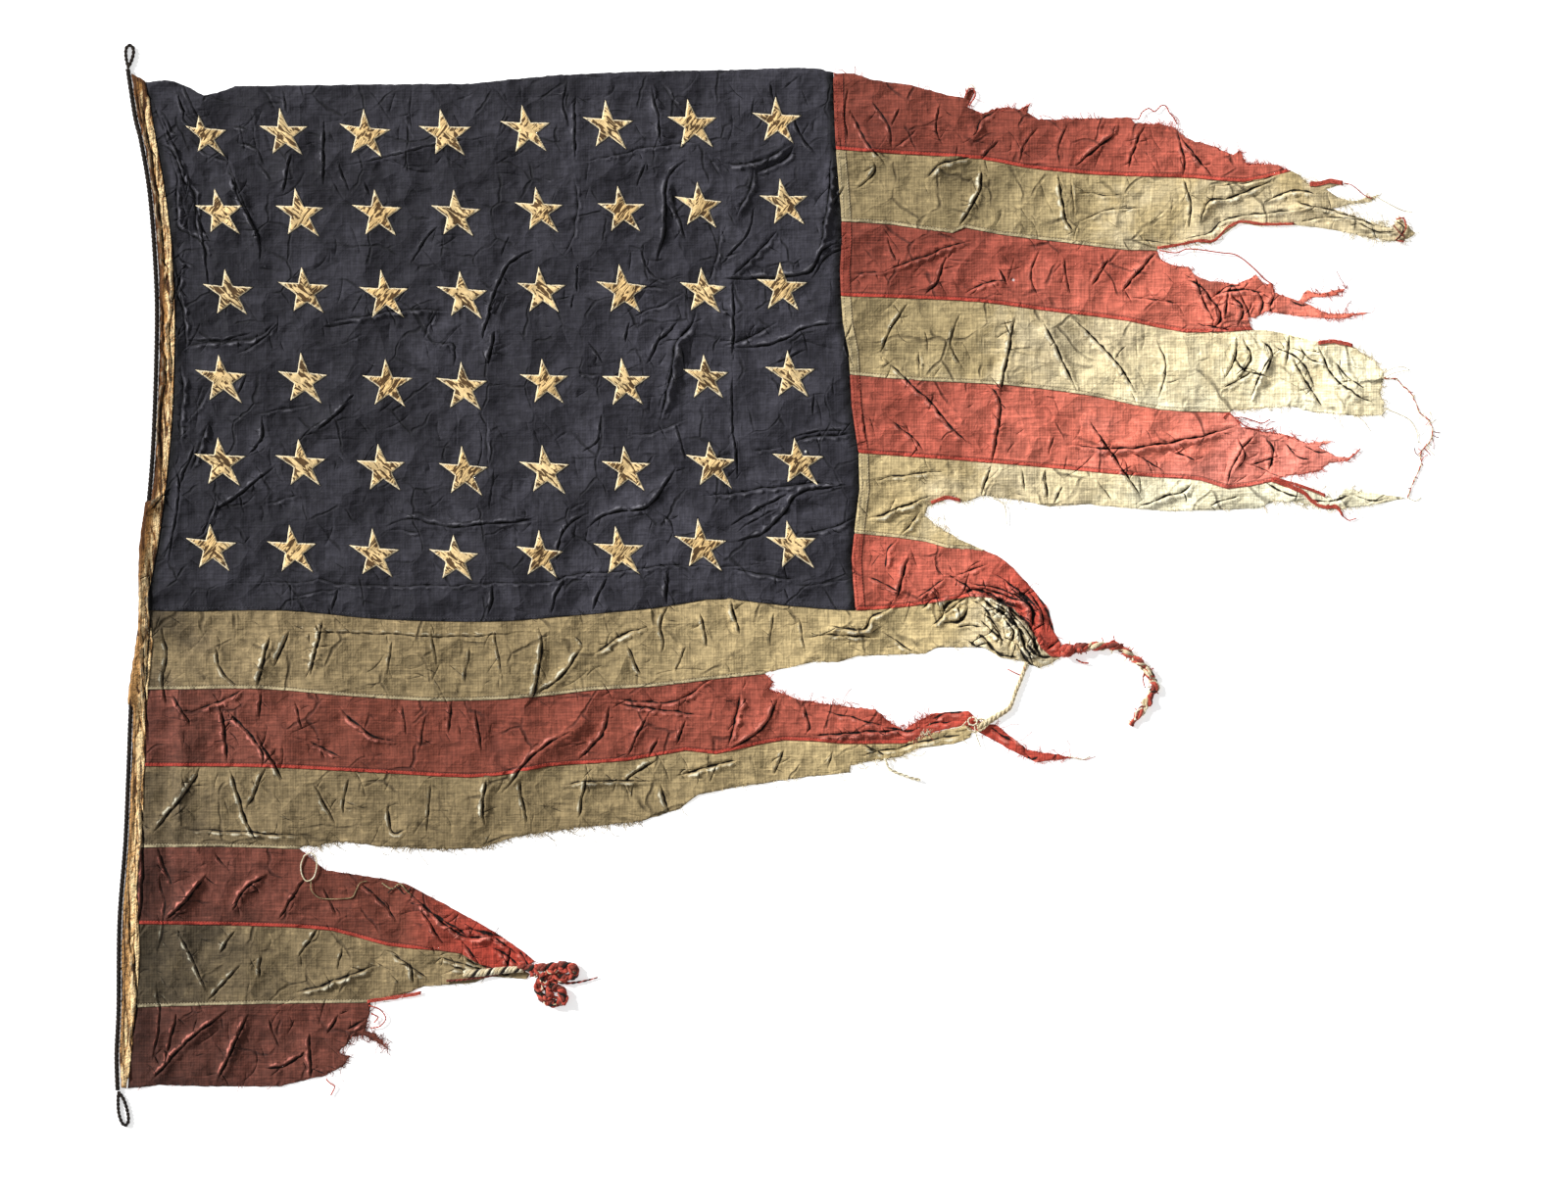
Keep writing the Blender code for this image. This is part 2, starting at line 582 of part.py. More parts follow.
def make_stripe(number, gap, lines):
    """One stripe from its seam with the canton or heading to its torn fly end."""
    short = number <= 7
    edge = beside(lines["canton_right" if short else "heading_right"], -gap)
    pieces = []
    if number > 1:
        above = beside(lines[number - 1], gap)
        top = float(above[0, 1])
        above[0, 0] = np.interp(top, edge[:, 1], edge[:, 0])
        pieces.append(above)
    else:
        top = 75.0
        pieces.append(np.array([(float(np.interp(top, edge[:, 1], edge[:, 0])), top)]))
    pieces.append(np.array(TEARS[number], float))
    if number < 13:
        below = beside(lines[number], -gap)
        if number == 7:
            below = cut(below, 0, 874, below[-1, 0])
        foot = float(below[0, 1])
        below[0, 0] = np.interp(foot, edge[:, 1], edge[:, 0])
        pieces.append(below[::-1])
    else:
        foot = 1111.0
    pieces.append(cut(edge, 1, top, foot)[1:-1][::-1])
    colour = "red" if number % 2 else "white"
    return folded_cloth(f"stripe_{number:02d}", np.vstack(pieces), lines["folds"], BUNTING, colour)


def make_heading(gap, lines, rope):
    """The canvas heading beside the rope, rolled over it for part of the hoist."""
    radius = ROPE_RADIUS / PIXEL
    right = beside(lines["heading_right"], gap)
    covered = (rope[:, 1] > ROLL_TOP) & (rope[:, 1] < ROLL_BOTTOM)
    left = rope.copy()
    left[:, 0] += np.where(covered, -radius - 0.3, radius + 0.3)
    crossings = []
    for y in (ROLL_TOP, ROLL_BOTTOM):
        x = float(np.interp(y, rope[:, 1], rope[:, 0]))
        crossings.append(((x + radius + 0.3, y - 1), (x - radius - 0.3, y + 1)))
    upper = left[left[:, 1] < ROLL_TOP - 2]
    middle = left[(left[:, 1] > ROLL_TOP + 2) & (left[:, 1] < ROLL_BOTTOM - 2)]
    lower = left[left[:, 1] > ROLL_BOTTOM + 2]
    (top_out, top_in), (low_in, low_out) = crossings
    edge = np.vstack([
        upper[upper[:, 1] > 78],
        [top_out, top_in],
        middle,
        [(low_out[0], low_in[1]), (low_in[0], low_out[1])],
        lower[lower[:, 1] < 1108],
    ])
    outline = np.vstack([
        [(134.4, 75.2), (148.6, 82.6)],
        cut(right, 1, 84, 1109)[1:-1],
        [(129.6, 1110.6), (124.4, 1110)],
        edge[::-1],
    ])
    plan = place(outline)
    rows = np.array([ROLL_TOP - ROLL_RAMP, ROLL_TOP - 4, ROLL_TOP + 40, 600, 622, 668, ROLL_BOTTOM + 4,
                     ROLL_BOTTOM + ROLL_RAMP], float)
    crest = np.column_stack([np.interp(rows, rope[:, 1], rope[:, 0]) + 1.4, rows])
    reach = np.interp(rows, right[:, 1], right[:, 0]) - 0.3
    foot = np.column_stack([np.minimum(crest[:, 0] + 9, reach), rows])
    folds = read_folds(HEADING_FOLDS)
    fold_lift = lift_of(folds)

    def lift(point):
        x = point[0] / PIXEL + ORIGIN_X
        y = ORIGIN_Y - point[1] / PIXEL
        cover = float(np.interp(y, (ROLL_TOP - ROLL_RAMP, ROLL_TOP - 4, ROLL_BOTTOM + 4, ROLL_BOTTOM + ROLL_RAMP),
                                (0, 1, 1, 0)))
        over = np.interp(y, rows, crest[:, 0])
        away = np.interp(y, rows, foot[:, 0])
        slope = min(1.0, max(0.0, float((away - x) / (away - over))))
        return max(ROLL_HEIGHT * cover * slope, fold_lift(point))

    lines_in = [place(crest), place(foot)] + [line for fold in folds for line in (fold[0], *fold[1])]
    return cloth("heading", plan, lines_in, lift, CANVAS, "canvas")


def make_eye(name, centre_line):
    """A rope eye: one closed ring of thin cord."""
    closed = smooth([*centre_line, centre_line[0]], 3.6)[:-1]
    plan = place(closed)
    radii = np.full(len(plan), EYE_RADIUS)
    return solid(name, *tube(resting(plan, radii), radii, 8, is_ring=True), "rope")


def make_tail():
    """The twisted end of stripes seven and eight."""
    curve = smooth(TWISTED_TAIL, 6)
    radii = curve[:, 2] * PIXEL
    radii[0] *= 0.8
    radii[-1] *= 0.55
    path = resting(place(curve[:, :2]), radii * 0.95)
    return solid("twisted_tail", *tube(path, radii, 10, lobes=0.16, turns=3.5), "red")


def make_knot():
    """The loops of yarn where stripes eleven and twelve end, grown together into one body."""
    vertices, faces = [], []
    for points, radius in zip(KNOT_LOOPS, KNOT_RADII):
        curve = smooth(points, 3)
        radii = np.full(len(curve), radius * PIXEL)
        radii[[0, -1]] *= 0.7
        heights = radii + KNOT_RISE * np.sin(np.linspace(0, math.pi, len(curve)))
        loop_vertices, loop_faces = tube(resting(place(curve), heights), radii, 10)
        first = len(vertices)
        vertices.extend(loop_vertices)
        faces.extend(tuple(i + first for i in face) for face in loop_faces)
    knot = solid("knotted_end", vertices, faces, "cream")
    grow = knot.modifiers.new("Grow together", "REMESH")
    grow.mode = "VOXEL"
    grow.voxel_size = KNOT_GRAIN
    grow.adaptivity = 0.0
    return knot


def main():
    for thing in list(bpy.data.objects):
        bpy.data.objects.remove(thing, do_unlink=True)
    step = OUTLINE_STEP / PIXEL
    gap = SEAM_GAP / 2 / PIXEL
    lines = {number: smooth(points, step) for number, points in SEAMS.items()}
    lines["canton_right"] = smooth(CANTON_RIGHT, step)
    lines["heading_right"] = smooth(HEADING_RIGHT, step)
    lines["folds"] = read_folds(FOLDS)
    make_canton(gap, lines)
    for number in range(1, 14):
        make_stripe(number, gap, lines)
    rope = smooth(ROPE_OUTER, step)
    rope[:, 0] += ROPE_RADIUS / PIXEL
    make_heading(gap, lines, rope)
    strand("hoist_rope", rope, ROPE_RADIUS, 8, 2 * step, "rope")
    make_eye("upper_eye", UPPER_EYE)
    make_eye("lower_eye", LOWER_EYE)
    make_tail()
    strand("lower_link", LOWER_LINK, STRAND_RADIUS, 6, 8, "cream")
    strand("upper_link", UPPER_LINK, YARN_RADIUS, 5, 12, "cream")
    make_knot()


main()
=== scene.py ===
import math

import bmesh
import bpy
import numpy as np
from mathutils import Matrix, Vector, noise
from mathutils.bvhtree import BVHTree
from mathutils.geometry import delaunay_2d_cdt
from mathutils.kdtree import KDTree


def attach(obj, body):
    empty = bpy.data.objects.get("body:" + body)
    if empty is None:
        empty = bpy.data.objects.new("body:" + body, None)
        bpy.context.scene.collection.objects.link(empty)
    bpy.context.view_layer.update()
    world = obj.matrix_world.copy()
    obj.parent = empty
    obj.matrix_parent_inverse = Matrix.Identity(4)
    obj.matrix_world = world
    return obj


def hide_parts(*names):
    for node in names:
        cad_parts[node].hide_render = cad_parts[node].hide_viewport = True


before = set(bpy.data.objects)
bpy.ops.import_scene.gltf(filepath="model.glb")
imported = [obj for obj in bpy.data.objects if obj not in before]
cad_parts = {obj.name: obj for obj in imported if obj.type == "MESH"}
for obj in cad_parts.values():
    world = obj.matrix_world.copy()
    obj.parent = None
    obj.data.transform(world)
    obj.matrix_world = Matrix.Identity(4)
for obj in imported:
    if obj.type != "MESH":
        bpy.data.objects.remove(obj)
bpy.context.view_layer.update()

dice = np.random.default_rng(48)

# where things lie: plan points are pixels of the photograph, x to the right and y down
photo = {"pixel": 0.0015, "originX": 789.35, "originY": 597.5, "midX": 800, "midY": 614.5, "across": 1600}


def noiseAt(x, y, z):
    return noise.noise(Vector((x, y, z)))


def unit(rows):
    return rows / np.maximum(np.linalg.norm(rows, axis=1), 1e-9)[:, None]


def lengthsOf(path):
    # how far along the path each of its points is
    return np.concatenate([[0], np.cumsum(np.linalg.norm(np.diff(path, axis=0), axis=1))])


def addPiece(name, data):
    piece = bpy.data.objects.new(name, data)
    bpy.context.scene.collection.objects.link(piece)
    return piece


def place(points):
    points = np.asarray(points, float)
    x = (points[:, 0] - photo["originX"]) * photo["pixel"]
    y = (photo["originY"] - points[:, 1]) * photo["pixel"]
    return np.column_stack([x, y])


def smoothLine(points, step):
    # a curve through the points with a vertex about every step, in the points' own unit
    points = np.asarray(points, float)
    ends = np.vstack([2 * points[0] - points[1], points, 2 * points[-1] - points[-2]])
    curve = []
    for i in range(len(points) - 1):
        a, b, c, d = ends[i:i + 4]
        count = max(1, int(round(float(np.linalg.norm((c - b)[:2])) / step)))
        for t in np.arange(count) / count:
            curve.append(b + 0.5 * t * (c - a + t * (2 * a - 5 * b + 4 * c - d + t * (3 * b - a - 3 * c + d))))
    curve.append(points[-1])
    return np.array(curve)


def wander(points, size, scale):
    # small sideways drift so that no line runs dead straight
    moved = np.array(points, float)
    for p in moved:
        p[0] += size * noiseAt(p[0] * scale, p[1] * scale, 3.1)
        p[1] += size * noiseAt(p[0] * scale, p[1] * scale, 8.7)
    return moved


def rowsOf(table):
    # a table's rows end at semicolons; in each, single words and numbers come first and points x,y after them
    rows = []
    for line in table.split(";"):
        row = [word if word[0].isalpha() else tuple(float(part) for part in word.split(",")) for word in line.split()]
        rows.append([word[0] if len(word) == 1 else word for word in row])
    return rows


# materials: a cable is a socket that can stand in a sum, a finish is one material
class Cable:
    def __init__(self, finish, socket):
        self.finish, self.socket = finish, socket

    def sum(self, operation, other, turned=False):
        pair = (other, self) if turned else (self, other)
        return self.finish.node("ShaderNodeMath", {"operation": operation}, {0: pair[0], 1: pair[1]})

    def __abs__(self):
        return self.sum("ABSOLUTE", 0.0)


def sumOf(operation, turned=False):
    return lambda cable, other: cable.sum(operation, other, turned)


for sign, operation in (("add", "ADD"), ("sub", "SUBTRACT"), ("mul", "MULTIPLY"), ("truediv", "DIVIDE")):
    setattr(Cable, f"__{sign}__", sumOf(operation))
    setattr(Cable, f"__r{sign}__", sumOf(operation, True))


class Finish:
    def __init__(self, name, **constants):
        self.material = bpy.data.materials.new(name)
        self.material.use_nodes = True
        self.tree = self.material.node_tree
        self.shader = self.tree.nodes["Principled BSDF"]
        for socket, value in constants.items():
            self.shader.inputs[socket.replace("_", " ")].default_value = value
        self.where = self.node("ShaderNodeTexCoord", {}, {}, "Object")

    def node(self, kind, settings, sockets, output=0):
        made = self.tree.nodes.new(kind)
        for key, value in settings.items():
            if key == "stops":
                ramp = made.color_ramp
                ramp.elements[0].position, ramp.elements[-1].position = value[0][0], value[-1][0]
                for position, _ in value[1:-1]:
                    ramp.elements.new(position)
                for element, (_, colour) in zip(ramp.elements, value):
                    element.color = (*colour, 1)
            else:
                setattr(made, key, value)
        for key, value in sockets.items():
            if isinstance(value, Cable):
                self.tree.links.new(value.socket, made.inputs[key])
            elif isinstance(value, tuple) and len(value) == 3 and made.inputs[key].type == "RGBA":
                made.inputs[key].default_value = (*value, 1)
            else:
                made.inputs[key].default_value = value
        return Cable(self, made.outputs[output])

    def mix(self, factor, a, b, blend="MIX"):
        return self.node("ShaderNodeMix", {"data_type": "RGBA", "blend_type": blend, "clamp_factor": True},
                         {0: factor, 6: a, 7: b}, 2)

    def grain(self, scale, detail=3.0, stretch=(1, 1, 1), distortion=0.0, rough=0.55, turn=0.0):
        # turned first and stretched after, so a streak can run at any angle
        spread = self.node("ShaderNodeMapping", {"vector_type": "TEXTURE"}, {
            "Vector": self.where, "Scale": tuple(1 / part for part in stretch), "Rotation": (0, 0, turn)})
        return self.node("ShaderNodeTexNoise", {}, {"Vector": spread, "Scale": scale, "Detail": detail,
                                                    "Roughness": rough, "Distortion": distortion})

    def ease(self, value, low, high, toLow=0.0, toHigh=1.0):
        return self.node("ShaderNodeMapRange", {"interpolation_type": "SMOOTHSTEP"},
                         {0: value, 1: low, 2: high, 3: toLow, 4: toHigh})

    def away(self, spot):
        return self.node("ShaderNodeVectorMath", {"operation": "DISTANCE"}, {0: self.where, 1: spot}, "Value")

    def held(self, name):
        return self.node("ShaderNodeAttribute", {"attribute_name": name}, {}, "Fac")

    def threads(self, pitch):
        # warp and weft ridges of the weave, as one height
        split = self.node("ShaderNodeSeparateXYZ", {}, {0: self.where}, "X")
        down = Cable(self, split.socket.node.outputs["Y"])
        drift = self.grain(30, 2.0) * 0.0012
        warp = (split + drift).sum("MULTIPLY", 2 * math.pi / pitch).sum("SINE", 0.0)
        weft = (down + drift).sum("MULTIPLY", 2 * math.pi / pitch).sum("SINE", 0.0)
        return warp * 0.4 + weft * 0.6

    def wire(self, colour, roughness, heights, strength=0.6):
        # heights: pairs of a height and its depth in metres, stacked as bumps
        self.tree.links.new(colour.socket, self.shader.inputs["Base Color"])
        self.tree.links.new(roughness.socket, self.shader.inputs["Roughness"])
        under = None
        for height, depth in heights:
            sockets = {"Height": height, "Distance": depth, "Strength": strength}
            if under is not None:
                sockets["Normal"] = under
            under = self.node("ShaderNodeBump", {}, sockets, "Normal")
        self.tree.links.new(under.socket, self.shader.inputs["Normal"])
        return self.material


clothLook = {
    # the middle of a painted pool of light on the cloth and how far its painted light reaches, then the weave's pitch
    # and the sheen
    "paintedLightSpot": (0.811, 0.090, 0.0), "paintedLightReach": 1.95, "threadPitch": 0.0024, "sheen": 0.08,
    # red and white: each cloth's colour from the middle of the painted pool of light out to painted shade at the far
    # edge
    "red": [
        (0.02, (0.88, 0.29, 0.22)), (0.177, (0.71, 0.184, 0.122)), (0.30, (0.51, 0.117, 0.077)),
        (0.345, (0.37, 0.082, 0.053)), (0.42, (0.30, 0.070, 0.045)), (0.66, (0.25, 0.064, 0.040)),
        (0.78, (0.205, 0.056, 0.035)), (0.89, (0.20, 0.062, 0.042)), (0.93, (0.14, 0.047, 0.032)),
        (1.0, (0.088, 0.032, 0.022)),
    ],
    "white": [
        (0.05, (1.0, 0.94, 0.68)), (0.17, (0.82, 0.69, 0.41)), (0.23, (0.72, 0.60, 0.37)), (0.30, (0.52, 0.405, 0.205)),
        (0.36, (0.42, 0.323, 0.160)), (0.46, (0.38, 0.288, 0.144)), (0.65, (0.300, 0.223, 0.111)),
        (0.87, (0.272, 0.202, 0.105)), (0.905, (0.205, 0.152, 0.083)), (0.95, (0.125, 0.094, 0.055)),
        (1.0, (0.10, 0.075, 0.045)),
    ],
    # bluePlain and blueWorn are the canton's own colours, cantonShadow a painted shadow
    "bluePlain": (0.0215, 0.0205, 0.0275), "blueWorn": (0.043, 0.0415, 0.053), "cantonShadow": (0.005, 0.005, 0.006),
    "soilAndShadeSpots": [
        # the second spot is painted shade at the lower hoist
        ((0.166, 0.626, 0.0), 0.12, 0.45, 0.78), ((-0.944, -0.754, 0.0), 0.25, 0.70, 0.72),
        ((-0.404, -0.289, 0.0), 0.08, 0.35, 0.82), ((0.091, -0.139, 0.0), 0.10, 0.35, 1.22),
        ((0.106, 0.146, 0.0), 0.06, 0.20, 1.14), ((0.83, 0.34, 0.0), 0.05, 0.22, 1.20),
        ((-0.56, -0.566, 0.0), 0.03, 0.14, 1.25), ((0.069, -0.205, 0.0), 0.04, 0.16, 1.10),
        # the five spots near x = -0.97 are painted shade beside the heading
        ((-0.962, -0.06, 0.0), 0.015, 0.075, 0.50), ((-0.965, -0.20, 0.0), 0.010, 0.065, 0.72),
        ((-0.970, -0.44, 0.0), 0.015, 0.080, 0.62), ((-0.975, -0.57, 0.0), 0.015, 0.080, 0.60),
        ((-0.985, -0.68, 0.0), 0.010, 0.070, 0.70), ((-0.30, -0.22, 0.0), 0.02, 0.10, 1.12),
        ((0.30, 0.60, 0.0), 0.02, 0.09, 0.84), ((0.62, 0.60, 0.0), 0.02, 0.10, 1.14),
        ((0.44, 0.40, 0.0), 0.02, 0.10, 0.88),
    ],
    "canvasPaleSpot": (-0.99, -0.42, 0.0), "unfaded": (0.50, 0.058, 0.036),
    "redBand": (0.66, 0.060, 0.040), "creamBand": (0.72, 0.62, 0.38),
}


def toneFrom(finish, stops, wobble):
    # painted light: the cloth is painted brightest where a pool of light falls towards the fly, and darkest in painted
    # shade at the lower hoist
    gap = finish.away(clothLook["paintedLightSpot"])
    return finish.node("ShaderNodeValToRGB", {"stops": stops}, {0: gap / clothLook["paintedLightReach"] + wobble})


def soiledAndShaded(finish):
    # darker and cleaner stretches, the darker ones beside the heading and at the lower hoist being painted shade: the
    # middle of each, where its effect begins and ends, and its strength
    shade = None
    for spot, near, far, strength in clothLook["soilAndShadeSpots"]:
        here = finish.ease(finish.away(spot), near, far, strength, 1.0)
        shade = here if shade is None else shade * here
    return shade


def slubs(finish, scale=310):
    # uneven warp and weft threads, as they show from a distance
    down, across = finish.grain(scale, 2.0, (1, 0.10, 1)), finish.grain(scale, 2.0, (0.10, 1, 1))
    return finish.ease(down * 0.5 + across * 0.5, 0.38, 0.62)


def crumple(finish, scale, drift=0.9):
    # crushed facets: a cone in each warped cell, and the sharp lines where the cells meet, broken up; the lines also
    # carry painted shade
    swirl = finish.node("ShaderNodeTexNoise", {}, {"Vector": finish.where, "Scale": scale * 0.7, "Detail": 3.0},
                        "Color")
    moved = finish.node("ShaderNodeVectorMath", {"operation": "MULTIPLY_ADD"},
                        {0: swirl, 1: (drift / scale,) * 3, 2: finish.where}, "Vector")
    cone, edge = (finish.node("ShaderNodeTexVoronoi", {"feature": feature, "voronoi_dimensions": "2D"},
                              {"Vector": moved, "Scale": scale}, "Distance") for feature in ("F1", "DISTANCE_TO_EDGE"))
    line = (1 - finish.ease(edge, 0.0, 0.055)) * finish.ease(finish.grain(scale * 0.9, 2.0), 0.47, 0.60)
    return cone, line


# a colour multiplied by a factor: texture and wear in some places, painted light and shade in others
def multiplied(finish, colour, shade):
    return finish.mix(1.0, colour, shade, "MULTIPLY")


def gapBand(finish, name, width, blur=0.0012):
    return 1 - finish.ease(finish.held(name), width - blur, width + blur)


def folded(finish, colour, crest, crease, lift):
    # painted highlight along the crest of a fold, painted shade down in its valley
    colour = finish.mix(finish.ease(finish.held("crest"), 0.25, 0.95) * lift, colour, crest)
    return finish.mix(finish.ease(finish.held("crease"), 0.10, 0.52), colour, crease)


def blueFinish():
    finish = Finish("navy bunting", Sheen_Weight=clothLook["sheen"], Specular_IOR_Level=0.2)
    mottle, weave = finish.grain(9, 6.0, (1, 1, 1), 0.4, 0.62), slubs(finish)
    streaks = finish.ease(finish.grain(14, 4.0, (1.2, 9, 1), 0.3, 0.6), 0.5, 0.8)
    (big, bigLine), (small, smallLine) = crumple(finish, 17), crumple(finish, 52)
    colour = finish.mix(finish.ease(mottle, 0.40, 0.66), clothLook["bluePlain"], clothLook["blueWorn"])
    colour = finish.mix(streaks * 0.3, colour, clothLook["blueWorn"])
    # painted light: the canton is painted lighter near the pool of light and darker, in painted shade, away from it
    paintedLightFalloff = finish.ease(finish.away(clothLook["paintedLightSpot"]), 0.8, 1.6, 1.12, 0.80)
    colour = multiplied(finish, colour, (0.76 + 0.48 * weave) * paintedLightFalloff)
    # painted shade along the sharp valleys between crushed facets
    colour = finish.mix(bigLine * 0.65 + smallLine * 0.35, colour, (0.004, 0.004, 0.005))
    colour = finish.mix(finish.ease(finish.grain(420, 1.0), 0.76, 0.80) * 0.25, colour, (0.25, 0.24, 0.24))
    # painted shadow in a dark band on the canton beside the heading
    colour = finish.mix(gapBand(finish, "underGap", 0.0105, 0.006) * 0.93, colour, clothLook["cantonShadow"])
    # painted shadow in a thin dark line round each star
    colour = finish.mix(gapBand(finish, "starGap", 0.0018, 0.0014) * 0.85, colour, (0.004, 0.004, 0.005))
    # painted highlight on fold crests and painted shade in crease valleys
    colour = folded(finish, colour, (0.19, 0.185, 0.21), (0.003, 0.003, 0.004), 0.92)
    return finish.wire(colour, finish.ease(mottle, 0.2, 0.8, 0.72, 0.9), [
        (finish.threads(clothLook["threadPitch"]), 0.00012), (finish.grain(34, 3.0, (1, 1.5, 1), 0.8), 0.0028),
        (big, 0.0120), (bigLine, -0.0022), (small, 0.0020)], 0.9)


buntingLook = {
    "red": {
        "grain": 11, "streak": 14, "streaky": (0.42, 0.72), "crushed": (15, 46), "uneven": 0.32, "woven": (0.78, 0.44),
        "streaked": (0.86, 0.34), "blotchy": (0.28, 0.5, 0.68, 1.04), "specks": (0.35, 0.58, 0.72),
        "crumpleShade": (0.035, 0.012, 0.009), "band": "redBand", "hemBand": 0.08, "hem": (0.05, 0.014, 0.010),
        "lowerBand": 0.0048, "row": 0.0062, "rowShade": 0.6, "holesAndShadow": (0.035, 0.010, 0.008),
        # crest, crease and lift: the painted highlight on fold crests, the painted shade in crease valleys, and the
        # highlight's strength
        "crest": (0.76, 0.26, 0.20), "crease": (0.010, 0.005, 0.004), "lift": 0.86,
    },
    "white": {
        "grain": 12, "streak": 13, "streaky": (0.4, 0.75), "crushed": (14, 44), "uneven": 0.30, "woven": (0.77, 0.46),
        "streaked": (0.90, 0.22), "blotchy": (0.30, 0.52, 0.72, 1.03), "specks": (0.30, 0.57, 0.70),
        "crumpleShade": (0.050, 0.035, 0.018), "band": "creamBand", "hemBand": 0.2, "hem": (0.06, 0.042, 0.022),
        "lowerBand": 0.0036, "row": 0.0052, "rowShade": 0.5, "holesAndShadow": (0.045, 0.030, 0.016),
        # crest, crease and lift: the painted highlight on fold crests, the painted shade in crease valleys, and the
        # highlight's strength
        "crest": (0.93, 0.87, 0.66), "crease": (0.014, 0.010, 0.006), "lift": 0.88,
    },
}


def buntingFinish(name, word):
    look = buntingLook[word]
    finish = Finish(name, Sheen_Weight=clothLook["sheen"], Specular_IOR_Level=0.2)
    mottle, weave = finish.grain(look["grain"], 6.0, (1, 1, 1), 0.5, 0.62), slubs(finish)
    streaks = finish.ease(finish.grain(18, 4.0, (1.0, look["streak"], 1), 0.3, 0.6), *look["streaky"])
    blots = finish.grain(48, 5.0, (1, 1.3, 1), 0.7, 0.66) if word == "white" else mottle
    (big, bigLine), (small, smallLine) = (crumple(finish, scale) for scale in look["crushed"])
    # the colour of the painted pool of light and its shade, times the stretches of soil and painted shade
    colour = multiplied(finish, toneFrom(finish, clothLook[word], (mottle - 0.5) * look["uneven"]), soiledAndShaded(finish))
    if word == "red":
        colour = finish.mix(finish.held("unfaded") * 0.8, colour, clothLook["unfaded"])
    plain, threaded = look["woven"]
    even, streaked = look["streaked"]
    colour = multiplied(finish, colour, (plain + threaded * weave) * (even + streaked * streaks))
    speck, few, many = look["specks"]
    specks = 1 + speck * finish.ease(finish.grain(120, 3.0), few, many)
    colour = multiplied(finish, colour, finish.ease(blots, *look["blotchy"]) * specks)
    # painted shade along the sharp valleys between crushed facets
    colour = finish.mix(bigLine * 0.6 + smallLine * 0.35, colour, look["crumpleShade"])
    # the hem beside the canton, the band along the lower seam, their rows of needle holes, and a painted shadow where
    # the cloth tucks under its neighbour
    colour = finish.mix(gapBand(finish, "sideGap", 0.016) * look["hemBand"], colour, clothLook[look["band"]])
    hem = 1 - finish.ease(abs(finish.held("sideGap") - 0.0155), 0.0004, 0.0016)
    colour = finish.mix(hem * 0.75, colour, look["hem"])
    colour = finish.mix(gapBand(finish, "lowerGap", look["lowerBand"]) * 0.5, colour, clothLook[look["band"]])
    row = 1 - finish.ease(abs(finish.held("lowerGap") - look["row"]), 0.0004, 0.0013)
    # needle holes, and a painted shadow along the edge under a neighbour
    colour = finish.mix(row * look["rowShade"] + gapBand(finish, "underGap", 0.0014) * 0.7, colour, look["holesAndShadow"])
    # painted highlight on fold crests and painted shade in crease valleys
    colour = folded(finish, colour, look["crest"], look["crease"], look["lift"])
    return finish.wire(colour, finish.ease(mottle, 0.2, 0.8, 0.8, 0.95), [
        (finish.threads(clothLook["threadPitch"]), 0.0002), (finish.grain(36, 3.0, (1, 1.5, 1), 0.8), 0.0032),
        (big, 0.0125), (bigLine, -0.0026), (small, 0.0024)], 0.9)


def canvasFinish():
    finish = Finish("stained canvas", Sheen_Weight=0.06, Specular_IOR_Level=0.25)
    mottle = finish.grain(30, 5.0, (1.6, 1, 1), 0.4, 0.6)
    long = finish.grain(26, 5.0, (7, 0.8, 1), 0.8, 0.62)
    hatch = finish.grain(240, 3.0, (0.5, 1.2, 1), 0.8, 0.6, 0.6)
    # the lower heading is paler and more orange around canvasPaleSpot
    upper = finish.ease(finish.away(clothLook["canvasPaleSpot"]), 0.38, 0.52, 0.2, 1.0)
    colour = finish.mix(finish.ease(mottle, 0.35, 0.65), (0.24, 0.090, 0.024), (0.60, 0.30, 0.090))
    colour = finish.mix((1 - upper) * 0.6, colour, (0.86, 0.50, 0.19))
    # painted highlight in streaks along the edge that lies over the canton and stripes
    lit = finish.ease(long, 0.46, 0.55) * (1 - finish.ease(finish.held("lowerGap"), 0.011, 0.017))
    colour = finish.mix(lit, colour, (0.98, 0.72, 0.38))
    colour = multiplied(finish, colour, finish.ease(hatch, 0.36, 0.58, 0.50, 1.28))
    colour = finish.mix(finish.ease(long, 0.425, 0.47, 1.0, 0.0) * 0.94, colour, (0.045, 0.016, 0.005))
    # painted shade along the free edge beside the rope, broken up by the mottle
    ropeShade = gapBand(finish, "freeGap", 0.0066, 0.004) * upper * finish.ease(mottle, 0.38, 0.50)
    colour = finish.mix(ropeShade, colour, (0.13, 0.048, 0.013))
    # a row of stitches, and a thin painted shadow line at the edge by the rope
    row = 1 - finish.ease(abs(finish.held("freeGap") - 0.0045), 0.0004, 0.0014)
    colour = finish.mix(row * 0.6 + gapBand(finish, "freeGap", 0.0010) * 0.6, colour, (0.09, 0.040, 0.014))
    # painted highlight on fold crests and painted shade in crease valleys
    colour = folded(finish, colour, (0.92, 0.78, 0.52), (0.025, 0.012, 0.005), 0.82)
    return finish.wire(colour, finish.ease(mottle, 0.2, 0.8, 0.75, 0.92), [
        (finish.threads(0.0016), 0.00018), (hatch, 0.0026), (long, 0.0060)], 0.9)


